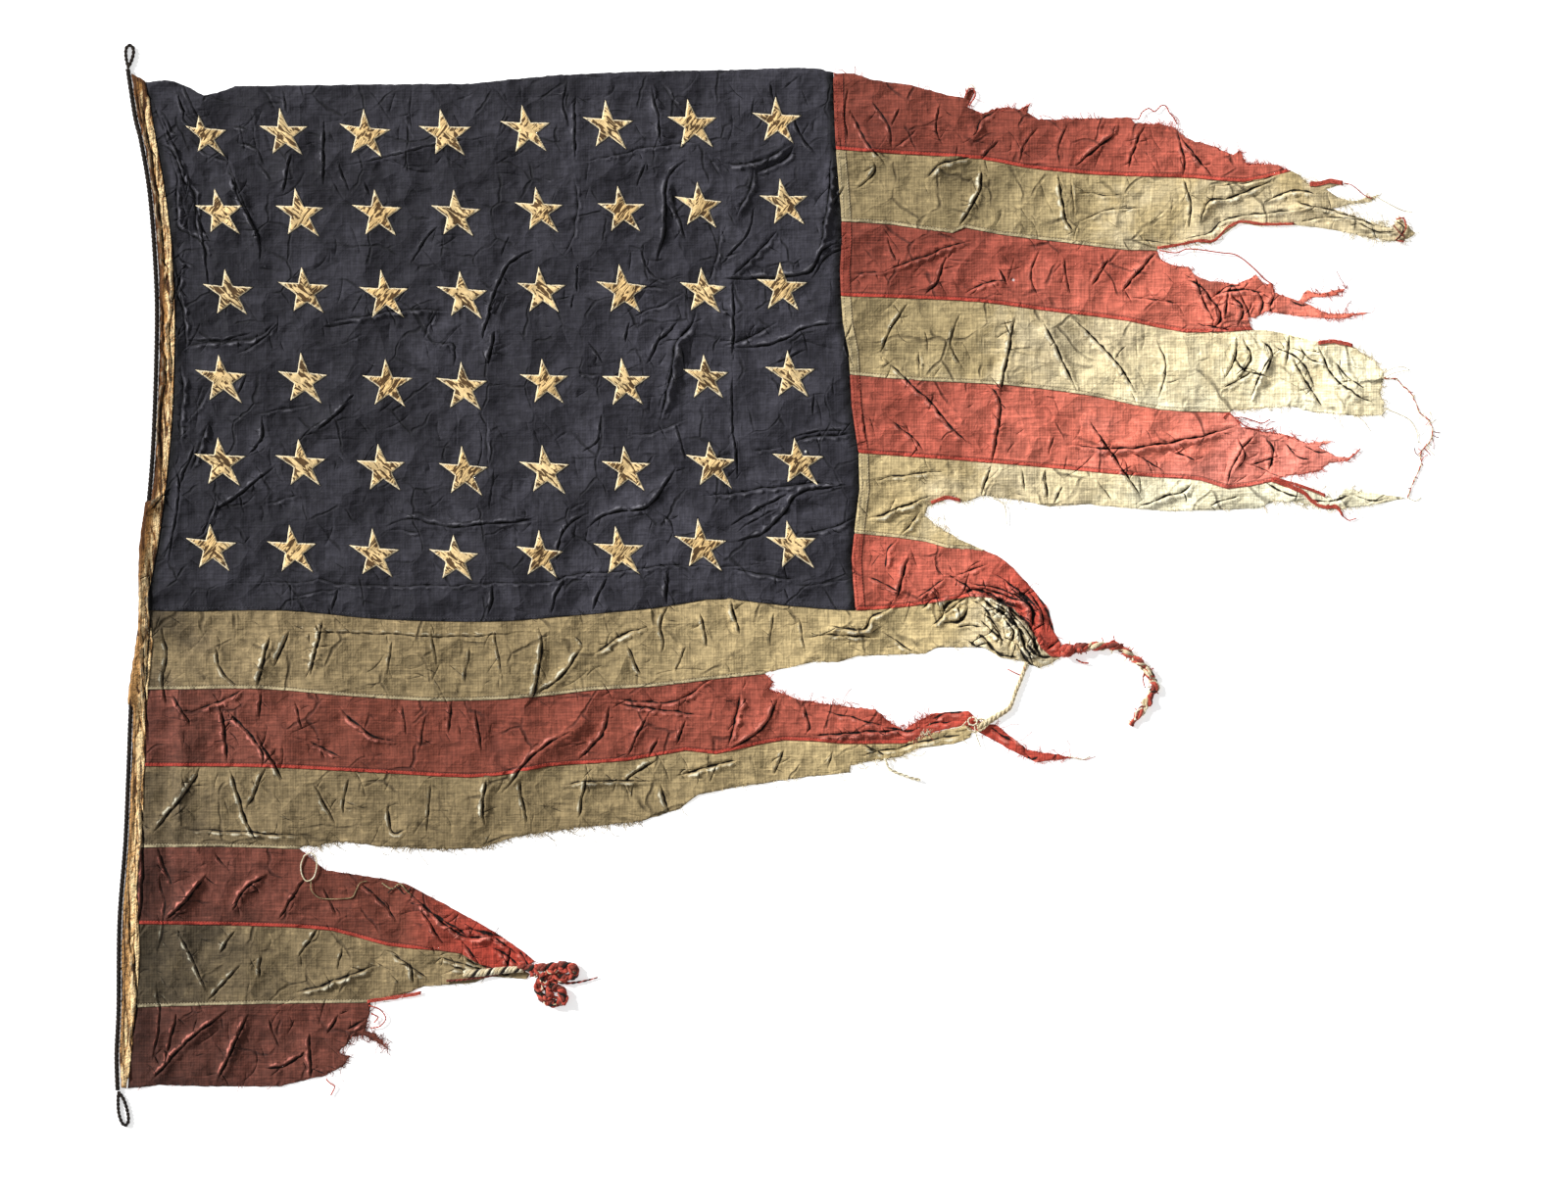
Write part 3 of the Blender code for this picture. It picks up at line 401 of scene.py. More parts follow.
def starFinish():
    finish = Finish("sewn star cloth", Sheen_Weight=0.08, Specular_IOR_Level=0.2)
    tone, blotch = finish.grain(7, 3.0), finish.grain(45, 4.0, (1, 1, 1), 0.6)
    left, right = (finish.grain(165, 2.0, (0.26, 1, 1), 1.3, 0.5, turn) for turn in (0.90, -0.72))
    lean = finish.ease(tone, 0.48, 0.52)
    ripple = left * lean + right * (1 - lean)
    light = finish.mix(finish.ease(tone, 0.4, 0.6), (0.98, 0.72, 0.36), (0.84, 0.57, 0.25))
    # painted shade in the valleys of the puckered ripples
    colour = finish.mix(finish.ease(ripple, 0.465, 0.512, 1.0, 0.0) * 0.95, light, (0.070, 0.030, 0.009))
    colour = multiplied(finish, colour, finish.ease(blotch, 0.36, 0.62, 0.66, 1.08))
    # painted highlight along the star's raised edge
    colour = finish.mix(gapBand(finish, "rim", 0.0016, 0.0007) * 0.8, colour, (0.93, 0.80, 0.54))
    return finish.wire(colour, finish.ease(blotch, 0.2, 0.8, 0.78, 0.93),
                       [(finish.threads(0.0018), 0.00016), (ripple, 0.0034)], 0.9)


def yarnFinish(name, plain, dark, pale):
    finish = Finish(name, Sheen_Weight=0.1, Specular_IOR_Level=0.2)
    mottle = finish.grain(60, 4.0, (1, 1, 1), 0.5)
    fuzz = finish.grain(500, 3.0)
    colour = finish.mix(finish.ease(mottle, 0.35, 0.65), plain, pale)
    colour = finish.mix(finish.ease(fuzz, 0.35, 0.55, 1.0, 0.0) * 0.7, colour, dark)
    return finish.wire(colour, finish.ease(mottle, 0.2, 0.8, 0.8, 0.95), [(fuzz, 0.0008)])


finishes = {
    "blue": blueFinish(), "red": buntingFinish("brick red bunting", "red"),
    "white": buntingFinish("yellowed white bunting", "white"), "canvas": canvasFinish(), "star": starFinish(),
    "ropeYarn": yarnFinish("dark rope", (0.011, 0.008, 0.006), (0.003, 0.002, 0.002), (0.026, 0.017, 0.011)),
    "khakiYarn": yarnFinish("soiled yarn", (0.24, 0.175, 0.085), (0.05, 0.032, 0.015), (0.40, 0.31, 0.17)),
    "maroonYarn": yarnFinish("soiled red yarn", (0.15, 0.035, 0.024), (0.03, 0.008, 0.006), (0.30, 0.06, 0.04)),
    "oliveYarn": yarnFinish("olive yarn", (0.20, 0.15, 0.07), (0.07, 0.05, 0.02), (0.46, 0.37, 0.20)),
    "redYarn": yarnFinish("red yarn", (0.42, 0.055, 0.035), (0.12, 0.018, 0.012), (0.60, 0.11, 0.07)),
    "creamYarn": yarnFinish("cream yarn", (0.62, 0.50, 0.30), (0.22, 0.15, 0.07), (0.80, 0.70, 0.48)),
    "whiteYarn": yarnFinish("pale yarn", (0.70, 0.62, 0.42), (0.30, 0.23, 0.12), (0.86, 0.80, 0.62)),
    "blueYarn": yarnFinish("navy yarn", (0.035, 0.033, 0.045), (0.010, 0.010, 0.014), (0.09, 0.087, 0.10)),
}
print("stage: finishes made")


# each crease: its strength, then its points; the ridge is on the right-hand side of a positive one
creaseRows = {
    "canton": """
        2 181,94 186,109 194,122 200,127; 2 162,111 169,118 175,132 185,139;
        -3 158,143 173,152 181,164 187,184 196,192 200,209 200,231 207,248;
        -3 181,179 181,209 182,231 192,239 205,246 212,263 213,273; 2 182,258 187,267 194,270 202,273;
        -3 187,273 184,284 181,299 186,312 189,333 190,358; 2 190,139 200,145 209,156 224,162 237,167;
        3 232,171 239,188 247,209 258,228; 2 230,130 245,130 258,135; 2 241,147 254,148 262,153;
        2 207,96 213,99 220,103; 2 200,222 209,237 215,241; -2 188,348 215,348 237,346 258,339;
        -3 184,372 187,400 183,430 186,460; 2 178,470 184,500 178,540 172,575; 2 178,89 187,114 192,127 233,163;
        2 185,80 197,108 207,124; -2 190,130 215,150 238,170; 1 155,100 170,140 190,175; 2 165,120 185,165 190,200;
        -1 172,150 190,220 196,260; 2 190,170 205,230 215,300; 1 175,240 185,300 196,345; 2 243,148 262,152 270,170;
        2 262,165 278,185; -1 253,105 258,128 262,160; 3 233,166 248,205 264,240 266,268; 1 245,125 250,155;
        2 289,89 293,117; -2 268,90 282,113; 3 297,158 290,198; 3 331,122 331,190; 2 346,165 357,195;
        1 340,185 352,205; -2 350,170 386,163 440,150 500,140; 1 375,90 400,125; 1 420,90 418,120;
        2 372,186 378,200; 2 447,230 433,248 419,270; 1 395,165 440,172; 1 455,160 480,175; -1 500,85 528,118;
        1 520,160 506,168; 1 430,255 450,275; 1 370,300 360,320; -1 530,85 533,104; 2 580,83 575,105 581,132;
        3 587,98 588,165; -2 585,178 590,205 585,240 576,262; 3 665,86 671,115 674,148; -2 675,85 688,104 699,119;
        2 594,165 637,156 680,148 722,145; 2 660,165 650,190; 4 703,163 690,172 681,186 679,205 680,232 671,268;
        3 685,190 690,215 701,246; -2 720,155 730,173 738,184; 4 736,167 771,165 808,149; 3 770,178 800,163 810,150;
        -3 769,170 765,192 751,222; 3 811,118 813,130 821,145 835,159; 1 770,98 765,122; 2 786,85 790,104;
        1 815,78 800,90; -3 793,236 772,258 748,283; 2 770,212 764,238 744,262 735,270;
        -2 735,230 733,255 727,277 720,292; 2 657,250 656,264 668,282 690,286; 2 740,262 757,258;
        -3 848,160 845,200 840,235 834,262; 4 860,246 840,256 822,280 780,284 737,285; 2 866,252 842,264 828,284;
        2 862,190 850,212; 2 590,270 588,300; 1 590,276 625,278; 3 547,254 524,266 508,292 496,330;
        3 340,328 375,322 400,319 425,316 460,317; -2 330,334 360,330; 1 336,353 355,348 374,342; 3 502,316 492,346;
        4 506,338 498,374; -2 447,316 440,328 431,346; 2 432,347 455,350 463,353 464,376;
        3 185,356 210,350 250,347 266,342 284,328; 2 240,362 256,355 268,346 284,332; 1 205,330 195,350;
        3 358,408 346,422 325,438; 2 362,402 352,412; 2 262,423 285,418 322,414; -2 216,394 204,414 189,432;
        3 268,424 268,445 256,464; -3 212,432 204,455 196,480; 2 201,452 190,480 182,502; 2 252,384 244,402;
        3 282,477 262,491 238,511 215,522; 1 205,498 222,512 220,530; 2 270,515 304,506; 1 245,505 250,525;
        -2 222,500 217,522 206,548; -2 496,430 498,476; -1 465,418 466,455; 1 505,478 500,520;
        -3 392,537 420,530 455,538 482,537 545,529; 2 398,540 430,543;
        2 214,599 240,595 299,594 330,591 346,596 372,597 446,598 505,595 560,594 583,587 640,582 680,577 748,578 800,574;
        3 748,581 790,588 814,592; 2 808,600 850,594 871,590; -2 297,596 297,620; 2 345,600 339,624;
        2 300,609 345,600; 3 503,596 503,612 497,628; 3 577,590 568,608 562,627; 3 620,590 612,606 604,624;
        4 683,582 681,600 680,617; 1 190,555 214,540; 1 240,550 262,562;
        4 690,476 680,494 667,512 655,520 622,524 598,541; 3 602,522 586,532 573,548 568,572; -2 598,512 580,520;
        2 640,519 655,520; 2 500,535 530,532 548,531; 2 668,520 684,532 687,546;
        3 716,508 745,503 780,498 830,493 862,495; 4 872,494 830,500 812,507 800,525 781,543 765,550 742,554;
        -3 745,537 766,524 790,511 806,503; -2 752,543 772,530 795,518; 3 818,546 850,538 874,527;
        1 760,572 806,573; 2 800,600 806,614; 3 748,288 749,330 748,365; 2 748,380 748,430 753,490;
        3 866,329 840,332 818,336 805,345 780,353 746,357; -3 793,329 762,345 738,353; 2 822,358 790,372;
        -4 712,318 702,336 690,350 686,375 680,405 672,432; 3 692,328 674,348 660,372; 2 696,352 698,378;
        2 600,348 616,372; 2 642,328 639,350; 2 640,446 670,440 690,432 702,428; 2 614,424 610,450 594,462;
        3 808,452 830,446 872,443; -2 806,447 835,441 870,439; 2 768,460 800,457; 2 751,455 753,486;
        1 779,380 795,392 800,402; 1 850,384 851,404; 2 830,400 830,425; 2 735,316 745,318; 2 505,305 500,320;
        1 580,440 565,452; 2 690,432 700,470; 1 720,500 735,515; 2 588,380 615,383; 2 585,300 583,316;
        1 520,240 512,262; 2 640,300 668,292 690,300; 2 650,320 680,310 700,298; 1 455,505 440,520
    """,
    "upper": """
        3 868,112 878,135 890,152 904,170; 3 890,104 908,130 910,153; 2 918,110 910,130; -2 936,132 912,152;
        3 995,140 1000,125 1018,112; 3 1018,143 1003,163; 4 1140,135 1115,155 1096,171;
        3 1168,128 1158,150 1152,172; 4 1203,137 1222,163 1236,180; 3 1200,133 1208,160 1207,180;
        2 1240,190 1280,185 1310,176; 2 960,105 955,130 962,148; 2 1060,130 1045,150 1040,166;
        2 1090,126 1080,150 1082,170; 2 865,90 862,120 866,145; 3 890,163 892,178 873,192;
        4 944,184 960,168 992,160; 4 1002,168 1000,193 985,220 978,232; 4 1079,178 1083,205 1091,231 1099,240;
        -2 1092,180 1096,220; 2 1100,197 1150,200; 2 1100,228 1130,215 1172,211; 3 1207,181 1215,208 1213,232;
        4 1225,226 1232,207 1255,202 1300,183; 3 1200,246 1232,238 1247,226 1265,220 1300,217 1332,213;
        2 1160,245 1205,250; 2 1310,230 1345,223 1380,223 1402,229; 3 900,278 935,265 965,253 992,246;
        3 966,262 955,288 944,302; 2 870,280 905,277; 3 1018,272 1028,292; 3 985,300 1010,287 1027,287;
        3 1130,265 1115,292; 4 1180,258 1155,285 1144,299; 2 1150,304 1185,307 1215,311;
        3 1218,278 1225,302 1239,330; 3 1220,330 1257,338; 3 1235,305 1252,293 1271,292; 3 1253,295 1250,327;
        3 1265,300 1280,333; 2 1060,255 1052,282 1060,305; 2 1085,262 1092,300; 3 927,310 910,335 898,360;
        4 900,363 925,388 950,412 975,440 998,458; 4 1035,322 1030,355 1020,405; 4 1063,325 1075,350 1098,399;
        4 1095,325 1135,365 1161,402; -2 938,358 938,386; 3 1262,342 1260,365 1249,387; 3 1245,398 1282,377;
        3 1316,342 1312,374; 4 1320,368 1333,390 1350,417; 4 1345,353 1360,385 1403,414;
        3 1275,410 1285,385 1297,362; 2 870,330 862,352 872,374; 2 980,320 970,350 985,380;
        2 1180,345 1190,375 1182,408; 3 905,425 932,447 944,463; 4 1005,390 1020,410 1017,450 1012,473;
        2 1075,445 1070,464; 4 1085,455 1120,457 1160,457 1215,447 1266,435; 4 1110,428 1140,470 1166,511;
        3 1155,462 1190,482; 3 1193,460 1222,471; 3 1283,440 1262,465 1251,496; 3 1306,465 1275,476;
        2 1270,473 1309,487; 3 890,490 930,484 966,481; 4 885,531 920,517 951,505; 3 920,546 941,521;
        3 1012,475 1002,506; 2 1043,478 1046,501; 3 1067,478 1068,512; 3 1085,495 1075,515;
        4 1160,517 1205,502 1216,493; 3 1230,518 1266,505; 2 1120,490 1135,512; 3 903,586 906,560 916,551;
        4 928,567 920,592 914,613; 3 885,588 919,605; 3 935,612 963,589; 3 975,588 1009,575; 3 965,585 996,606;
        4 1000,600 1049,615; 4 1030,598 1053,620 1054,637; 3 1012,585 1045,606 1066,632;
        3 985,596 1030,604 1062,628; 2 880,420 884,450; 2 905,240 915,268; 2 1340,505 1380,507; 2 1300,500 1330,508
    """,
    "lower": """
        3 165,640 171,668 166,696 170,722; 2 163,893 168,930 160,975; 2 160,1000 164,1040 156,1082;
        3 220,660 225,682 243,701; 4 275,650 269,680 262,703; 4 295,645 280,681; 4 330,632 324,660 317,691;
        4 550,640 553,660 545,708 535,722; 4 595,660 570,693 547,709; 4 605,668 635,648 661,640;
        3 682,618 674,635 678,655 675,666; 4 745,611 755,646; 4 845,638 880,643 890,630 913,617; 3 840,648 896,650;
        3 900,645 925,661 941,667; 3 962,628 986,609; 4 1000,633 1030,658; 4 1010,612 1033,632 1053,676;
        3 1020,613 1047,645 1058,666; -2 295,644 400,648 470,650 545,645; 2 400,655 395,690; 2 440,640 446,680;
        2 480,660 474,700; 2 505,645 512,690; 3 715,625 722,660; 2 790,625 785,660; 2 815,630 822,665;
        3 640,660 655,690; 2 700,660 690,685; 3 176,707 195,741; 3 195,727 225,716 251,702;
        4 225,722 230,750 232,779; 4 230,722 262,757 270,770 268,783; 4 262,750 290,796; 3 267,705 265,734;
        3 315,755 351,775; 4 345,720 375,747 406,758; 3 462,714 458,749; 3 485,725 492,766;
        4 623,720 615,750 590,776; 4 584,746 548,768 512,811; 3 663,727 640,771; 3 672,752 662,773;
        3 620,713 660,716 690,715 728,692; 3 625,718 720,730; -4 755,705 750,735 744,761; 4 795,710 777,745 744,766;
        3 820,717 826,740 822,751; 4 822,752 870,748 926,745; 2 410,718 415,750; 2 435,730 428,770;
        3 700,735 690,760; 2 300,715 310,745; 3 840,725 880,735 905,742; 4 205,783 190,810 157,849;
        4 235,783 253,840 266,861; 3 272,783 253,824; 3 185,845 225,848 270,850 316,853; 3 320,800 343,841;
        3 397,820 400,850 416,846; 4 497,794 494,820 494,842; 3 570,802 605,797 666,797; 4 670,775 637,797;
        4 674,800 683,833; 4 690,792 725,782 756,775; 2 440,800 436,850; 2 355,795 350,830; 3 530,795 538,840;
        3 600,790 590,835; 3 800,765 790,790; 2 850,765 845,785; 3 880,760 905,772; 3 160,865 177,906;
        4 210,893 196,914 170,939; 4 273,892 250,908 238,931; 3 313,895 285,938; 3 365,900 385,915 406,941;
        4 415,908 445,935 473,955 509,956; 3 470,958 493,989; 4 520,968 518,989; 3 495,950 530,975;
        2 330,905 345,935; 3 430,930 455,965; 2 220,870 235,890; 3 182,947 197,980 211,1011; 3 240,950 225,973;
        3 245,985 212,1021; 3 267,975 265,998; 3 325,948 305,976; 4 300,1015 350,997 386,985; 3 418,982 423,1004;
        3 445,975 500,993; 2 350,965 345,990; 3 395,970 440,1000; 4 232,1031 190,1065 152,1106;
        4 254,1034 237,1073 222,1104; 4 312,1073 290,1088 271,1090; 4 316,1055 318,1103; 3 345,1035 335,1056;
        3 180,1035 172,1075; 2 275,1040 285,1070; 3 355,1050 375,1040
    """,
    "gather": """
        5 979,611 966,617 962,625; 5 987,615 985,626 978,634 960,637;
        5 1002,610 1018,623 1027,630 1039,642 1047,652; 5 1008,608 1026,618 1039,629 1049,639 1053,649;
        5 1036,656 1044,668 1052,678 1063,681; 5 1053,643 1055,657 1062,668 1068,670;
        5 995,645 1005,652 1015,664 1028,670 1040,672; -3 976,640 990,638 1003,642; 4 1023,629 1034,646 1029,661;
        5 1036,600 1051,616 1054,634 1050,645; 5 978,609 992,602 1006,605 1026,615 1048,622;
        -4 1054,600 1068,622 1077,650; 4 1068,664 1076,657 1083,650; 3 1012,636 1022,650 1020,660;
        4 1040,650 1046,662 1056,672; 3 1046,600 1060,618 1068,644; 3 950,640 962,628 960,614;
        3 1000,625 1012,633 1024,648; 5 1046,655 1058,668 1074,672; 3 940,622 952,612 962,612;
        4 985,652 996,659 1010,664; -3 990,612 1004,620 1012,632; 4 950,735 965,728 985,727;
        3 942,742 956,738 972,736; 4 1010,742 1024,752 1036,757; 4 1030,748 1042,757 1047,768; 3 985,751 1000,746;
        4 1046,768 1052,774 1060,772; 4 912,765 940,757 965,752 985,748; 3 880,772 900,766 925,764;
        4 900,742 925,746 940,742; 5 476,944 500,954 520,957 528,966; 4 440,930 462,945 480,956;
        4 500,965 518,975 530,985; 3 470,975 488,985 505,988; 4 460,985 480,992 500,990; 3 488,990 498,996 508,992;
        3 505,992 515,996 524,992; 4 530,970 536,980 540,990; 4 1255,300 1268,316 1262,334;
        4 1282,296 1288,312 1280,330; 4 1300,300 1296,316 1302,328; 4 1240,300 1262,296 1290,298;
        4 1238,308 1246,322 1240,334; 4 1210,285 1228,296 1240,312; 3 1315,305 1330,312 1345,308;
        4 1268,345 1276,365 1262,388; 4 1285,345 1298,360 1290,385; 4 1300,352 1330,372 1342,398;
        3 1255,360 1270,378 1300,386; 3 1360,365 1375,385 1395,398; 3 1325,350 1335,366 1352,372;
        4 1290,445 1300,460 1294,480; 3 1310,450 1322,465 1340,470; 3 1262,445 1270,465 1262,480;
        3 1330,455 1345,462 1360,460; 4 1290,492 1310,503 1330,508; 4 1340,510 1360,512 1378,505;
        3 1380,505 1400,511 1420,508; 3 1360,215 1385,222 1405,232; 3 1320,205 1345,212 1372,215;
        4 1290,205 1320,195 1345,198; 3 1385,228 1405,236 1425,238
    """,
    "heading": """
        3 174,498 163,512 151,524; 2 140,90 146,130; 1 160,200 166,240; 2 165,300 168,360;
        3 144,96 151,140 160,190 166,240 170,300; 3 176,250 178,300 174,340 176,400; 2 166,400 162,460;
        3 162,340 170,380 163,430 168,490; 2 152,150 158,160 160,174; 2 163,262 172,276 170,290;
        3 150,560 154,620 149,690 152,760; 3 143,800 147,880 141,960; 3 136,960 140,1020 133,1070;
        2 146,640 147,700; 1 138,800 137,860; 2 133,930 134,980; 1 128,1020 127,1070
    """,
}

# each soft fold: its height in mm, its reach in pixels, then its points
softRows = """
    -2.6 9 168,640 172,720 169,800 171,900 165,1000 161,1085; 2 9 190,640 196,720 192,800 193,870;
    2.6 8 160,110 176,160 184,220 190,300; -2.4 7 176,120 196,175 206,240 214,300;
    2.4 8 196,120 222,170 236,220 246,268; 2.2 9 168,250 180,330 190,420; -2.2 8 184,300 196,380 192,450;
    2 9 172,430 186,500 176,560; -2 9 262,100 270,160 284,220; 2.2 9 610,520 650,512 682,492;
    2.6 8 745,538 775,518 808,502; 2.6 9 848,160 845,205 838,262; -2.4 9 692,170 690,210 684,262;
    2.8 9 712,318 692,350 684,390 672,432; 2.4 9 770,160 800,148 812,120; 2 10 590,100 598,150 592,200;
    2.2 9 500,320 508,345 500,375; 2.4 10 1090,175 1100,210 1104,240; -2.2 9 1215,205 1235,232 1262,222;
    2.2 9 900,350 940,395 990,448; 2.2 9 1048,322 1042,360 1032,405; -2.2 8 1090,330 1115,365 1145,400;
    2.4 10 1090,448 1160,450 1250,432; 2.4 9 262,655 250,700; 2.4 10 540,640 542,665 528,716;
    2.2 10 600,722 590,750 560,775; -2 10 640,725 628,760 610,790; 2.2 10 240,715 262,745 285,790;
    2.4 10 190,790 170,830 150,860; 2.4 10 205,895 180,930 165,945; 2.4 10 240,1032 215,1068 195,1105;
    2.2 10 400,905 440,928 490,950; 2.4 8 1000,618 1024,636 1042,662; 2.6 7 1012,606 1040,622 1056,646;
    2.6 8 965,630 985,640 1010,650; -2.4 6 1030,612 1050,632 1060,660
"""

creaseLook = {
    "depth": 0.00125, "smallDepth": 0.0009, "step": 0.005, "valley": 0.42,
    "width": (0.0030, 0.0036, 0.0044, 0.0054, 0.0064, 0.0098),
    # where short creases are strewn: how many, and the left, right, top and bottom of each field
    "fields": {"canton": (280, 160, 850, 80, 620), "upper": (280, 860, 1380, 85, 660),
               "lower": (400, 155, 900, 625, 1105)},
}


def creaseProfile(across):
    valley = -np.clip(1 - np.abs(across) / creaseLook["valley"], 0, 1)
    ridge = np.clip(1 - ((across - 0.95) / 0.85) ** 2, 0, 1) ** 1.5
    shoulder = np.clip(1 - ((across + 0.9) / 0.7) ** 2, 0, 1) ** 1.5
    return valley + 0.95 * ridge + 0.2 * shoulder


class Crease:
    def __init__(self, strength, line, small=False):
        self.side = math.copysign(1.0, strength)
        self.force = abs(strength)
        self.small = small
        self.width = creaseLook["width"][int(min(5, round(self.force)))] * (0.6 if small else 1.0)
        self.line, self.along = line, lengthsOf(line)
        self.beat = dice.uniform(0, 6.28, 2), dice.uniform(0.016, 0.040), dice.uniform(0.007, 0.013)
        self.low = line.min(axis=0) - 2 * self.width
        self.high = line.max(axis=0) + 2 * self.width

    def offsets(self):
        valley = creaseLook["valley"]
        return (-valley, 0, valley) if self.small else (-1.4, -valley, 0, valley, 0.95, 1.8)

    def guide(self, offset):
        steps = unit(np.diff(self.line, axis=0))
        run = unit(np.vstack([steps[:1], steps[:-1] + steps[1:], steps[-1:]]))
        away = np.column_stack([run[:, 1], -run[:, 0]]) * self.side
        share = self.share(self.along)[:, None]
        return self.line + away * offset * self.width * (0.35 + 0.65 * share)

    def share(self, along):
        # thin at both ends, and uneven between them
        t = along / self.along[-1]
        (first, second), slow, quick = self.beat
        uneven = 0.80 + 0.26 * np.sin(6.28 * along / slow + first) + 0.16 * np.sin(6.28 * along / quick + second)
        return np.clip(np.minimum(t, 1 - t) / 0.22, 0, 1) ** 0.7 * np.clip(uneven, 0.25, 1.1)

    def shape(self, plan):
        near = np.flatnonzero(((plan > self.low) & (plan < self.high)).all(axis=1))
        if not len(near):
            return near, None, None, None
        points, best = plan[near], np.full(len(near), 1e9)
        signed, where = np.zeros(len(near)), np.zeros(len(near))
        for i in range(len(self.line) - 1):
            start, run = self.line[i], self.line[i + 1] - self.line[i]
            t = np.clip((points - start) @ run / (run @ run), 0, 1)
            gap = points - start - t[:, None] * run
            distance = np.linalg.norm(gap, axis=1)
            closer = distance < best
            cross = gap[:, 0] * run[1] - gap[:, 1] * run[0]
            best = np.where(closer, distance, best)
            signed = np.where(closer, np.sign(cross) * distance * self.side, signed)
            where = np.where(closer, self.along[i] + t * math.sqrt(run @ run), where)
        share = self.share(where)
        across = signed / (self.width * (0.35 + 0.65 * share))
        self.across, self.here = across, share
        force = share * self.force
        depth = creaseLook["smallDepth"] if self.small else creaseLook["depth"]
        height = creaseProfile(across) * force * depth
        # masks for painted shade down the valley and painted highlight along the ridge
        dark = np.clip(1 - np.abs(across) / creaseLook["valley"], 0, 1)
        dark = dark * np.clip(0.28 + 0.2 * self.force, 0, 1) * share
        crest = np.clip(1 - np.abs(across - 0.85) / 0.72, 0, 1) * np.clip(0.3 + 0.16 * self.force, 0, 1) * share
        return near, height, dark, crest


class SoftFold(Crease):
    # a wide rounded ridge or trough, with no line of its own
    def __init__(self, tall, reach, line):
        super().__init__(1, line)
        self.tall, self.reach = tall * 0.001, reach * photo["pixel"]
        self.low = line.min(axis=0) - 2.5 * self.reach
        self.high = line.max(axis=0) + 2.5 * self.reach
        self.width = self.reach

    def offsets(self):
        return (0,)

    def share(self, along):
        t = along / self.along[-1]
        return np.clip(np.minimum(t, 1 - t) / 0.3, 0, 1) ** 0.7

    def shape(self, plan):
        near, _, _, _ = super().shape(plan)
        if not len(near):
            return near, None, None, None
        height = self.tall * np.exp(-1.6 * self.across ** 2) * self.here
        # painted shade in a trough, deeper troughs darker
        troughShade = np.clip(-height / 0.004, 0, 1) * 0.25
        return near, height, troughShade, np.zeros(len(near))


def branch(made, crease):
    # short creases that leave a main one at an angle
    for _ in range(dice.poisson(min(3.0, crease.along[-1] * 28 * (crease.force / 3)))):
        k = dice.integers(0, len(crease.line) - 1)
        run = crease.line[k + 1] - crease.line[k]
        turn = math.atan2(run[1], run[0]) + dice.choice((-1, 1)) * dice.uniform(0.45, 1.15)
        turn += math.pi if dice.random() < 0.5 else 0
        length, bend = dice.uniform(0.009, 0.030), dice.normal(0, 0.35)
        line = [crease.line[k] + length * t * np.array([math.cos(turn + bend * t), math.sin(turn + bend * t)])
                for t in (0.04, 0.35, 0.7, 1)]
        force = dice.choice((-1, 1)) * crease.force * dice.uniform(0.35, 0.75)
        made.append(Crease(force, smoothLine(line, 0.005), True))


def makeCreases():
    made = []
    for table in creaseRows.values():
        for strength, *points in rowsOf(table):
            line = wander(wander(smoothLine(place(points), creaseLook["step"]), 0.0026, 42), 0.0011, 150)
            made.append(Crease(strength, line))
            branch(made, made[-1])
    for tall, reach, *points in rowsOf(softRows):
        made.append(SoftFold(tall, reach, smoothLine(place(points), 0.008)))
    for region, (count, left, right, top, bottom) in creaseLook["fields"].items():
        for _ in range(count):
            x, y = dice.uniform(left, right), dice.uniform(top, bottom)
            turn = 2.4 * noiseAt(x / 90, y / 90, 1.7) + dice.normal(0, 0.5) + (1.0 if region == "canton" else 0.7)
            length = dice.uniform(9, 24) * (1.0 if dice.random() < 0.75 else 1.9)
            bend = dice.normal(0, 0.25)
            line = [(x + length * t * math.cos(turn + bend * t), y + length * t * math.sin(turn + bend * t))
                    for t in (0, 0.33, 0.66, 1)]
            made.append(Crease(dice.choice((-1, 1)) * dice.uniform(0.6, 1.8), smoothLine(place(line), 0.006), True))
    return made


creases = makeCreases()
print("stage:", len(creases), "creases laid out")


# cloth pieces
clothNames = ["canton"] + [f"stripe_{n:02d}" for n in range(1, 14)] + ["heading"]
clothLayout = {
    "grid": {"canton": 0.0072, "heading": 0.0042, "stripe": 0.0054}, "edgeStep": 0.0045, "fineStep": 0.0018,
    "holeStep": 0.003, "clear": 0.0026, "merge": 0.00018, "touching": 0.0013, "level": 0.0028, "lap": 0.0016,
    "lapLift": 0.0009, "thickness": 0.0007, "wave": 0.0016, "seamReach": 0.006, "bandFade": 0.00025,
}
# left, top, right and bottom of a torn stretch in pixels, and how ragged it is
tornZones = [
    (985, 80, 1200, 130, 1.6), (1195, 120, 1345, 190, 1.4), (1175, 245, 1410, 335, 1.1), (1235, 412, 1410, 500, 1.1),
    (310, 838, 690, 880, 1.6), (780, 684, 950, 760, 1.6), (325, 1018, 410, 1115, 1.8), (1370, 185, 1460, 255, 1.9),
    (1385, 355, 1460, 430, 1.2), (940, 500, 1090, 550, 1.0), (855, 765, 950, 800, 1.2), (1040, 745, 1110, 785, 0.8),
    (1290, 480, 1400, 535, 1.3),
]
# where the bright band of a sewn edge ends, in pixels across
bandEnds = {"stripe_07": 985, "stripe_11": 425, "stripe_09": 960}
# where a red stripe grows richer towards its gathered end: first and last pixel across
unfadedEnds = {"stripe_07": (985, 1055), "stripe_09": (860, 985), "stripe_11": (410, 505)}
# an edge that is drawn on to close a gap: left, top, right and bottom in pixels, and how far it moves in metres
closing = {"stripe_10": (905, 728, 992, 768, 0.0, 0.0045), "canton": (140, 78, 164, 145, -0.0035, 0.0)}


def pixelOf(spot):
    return spot[0] / photo["pixel"] + photo["originX"], photo["originY"] - spot[1] / photo["pixel"]


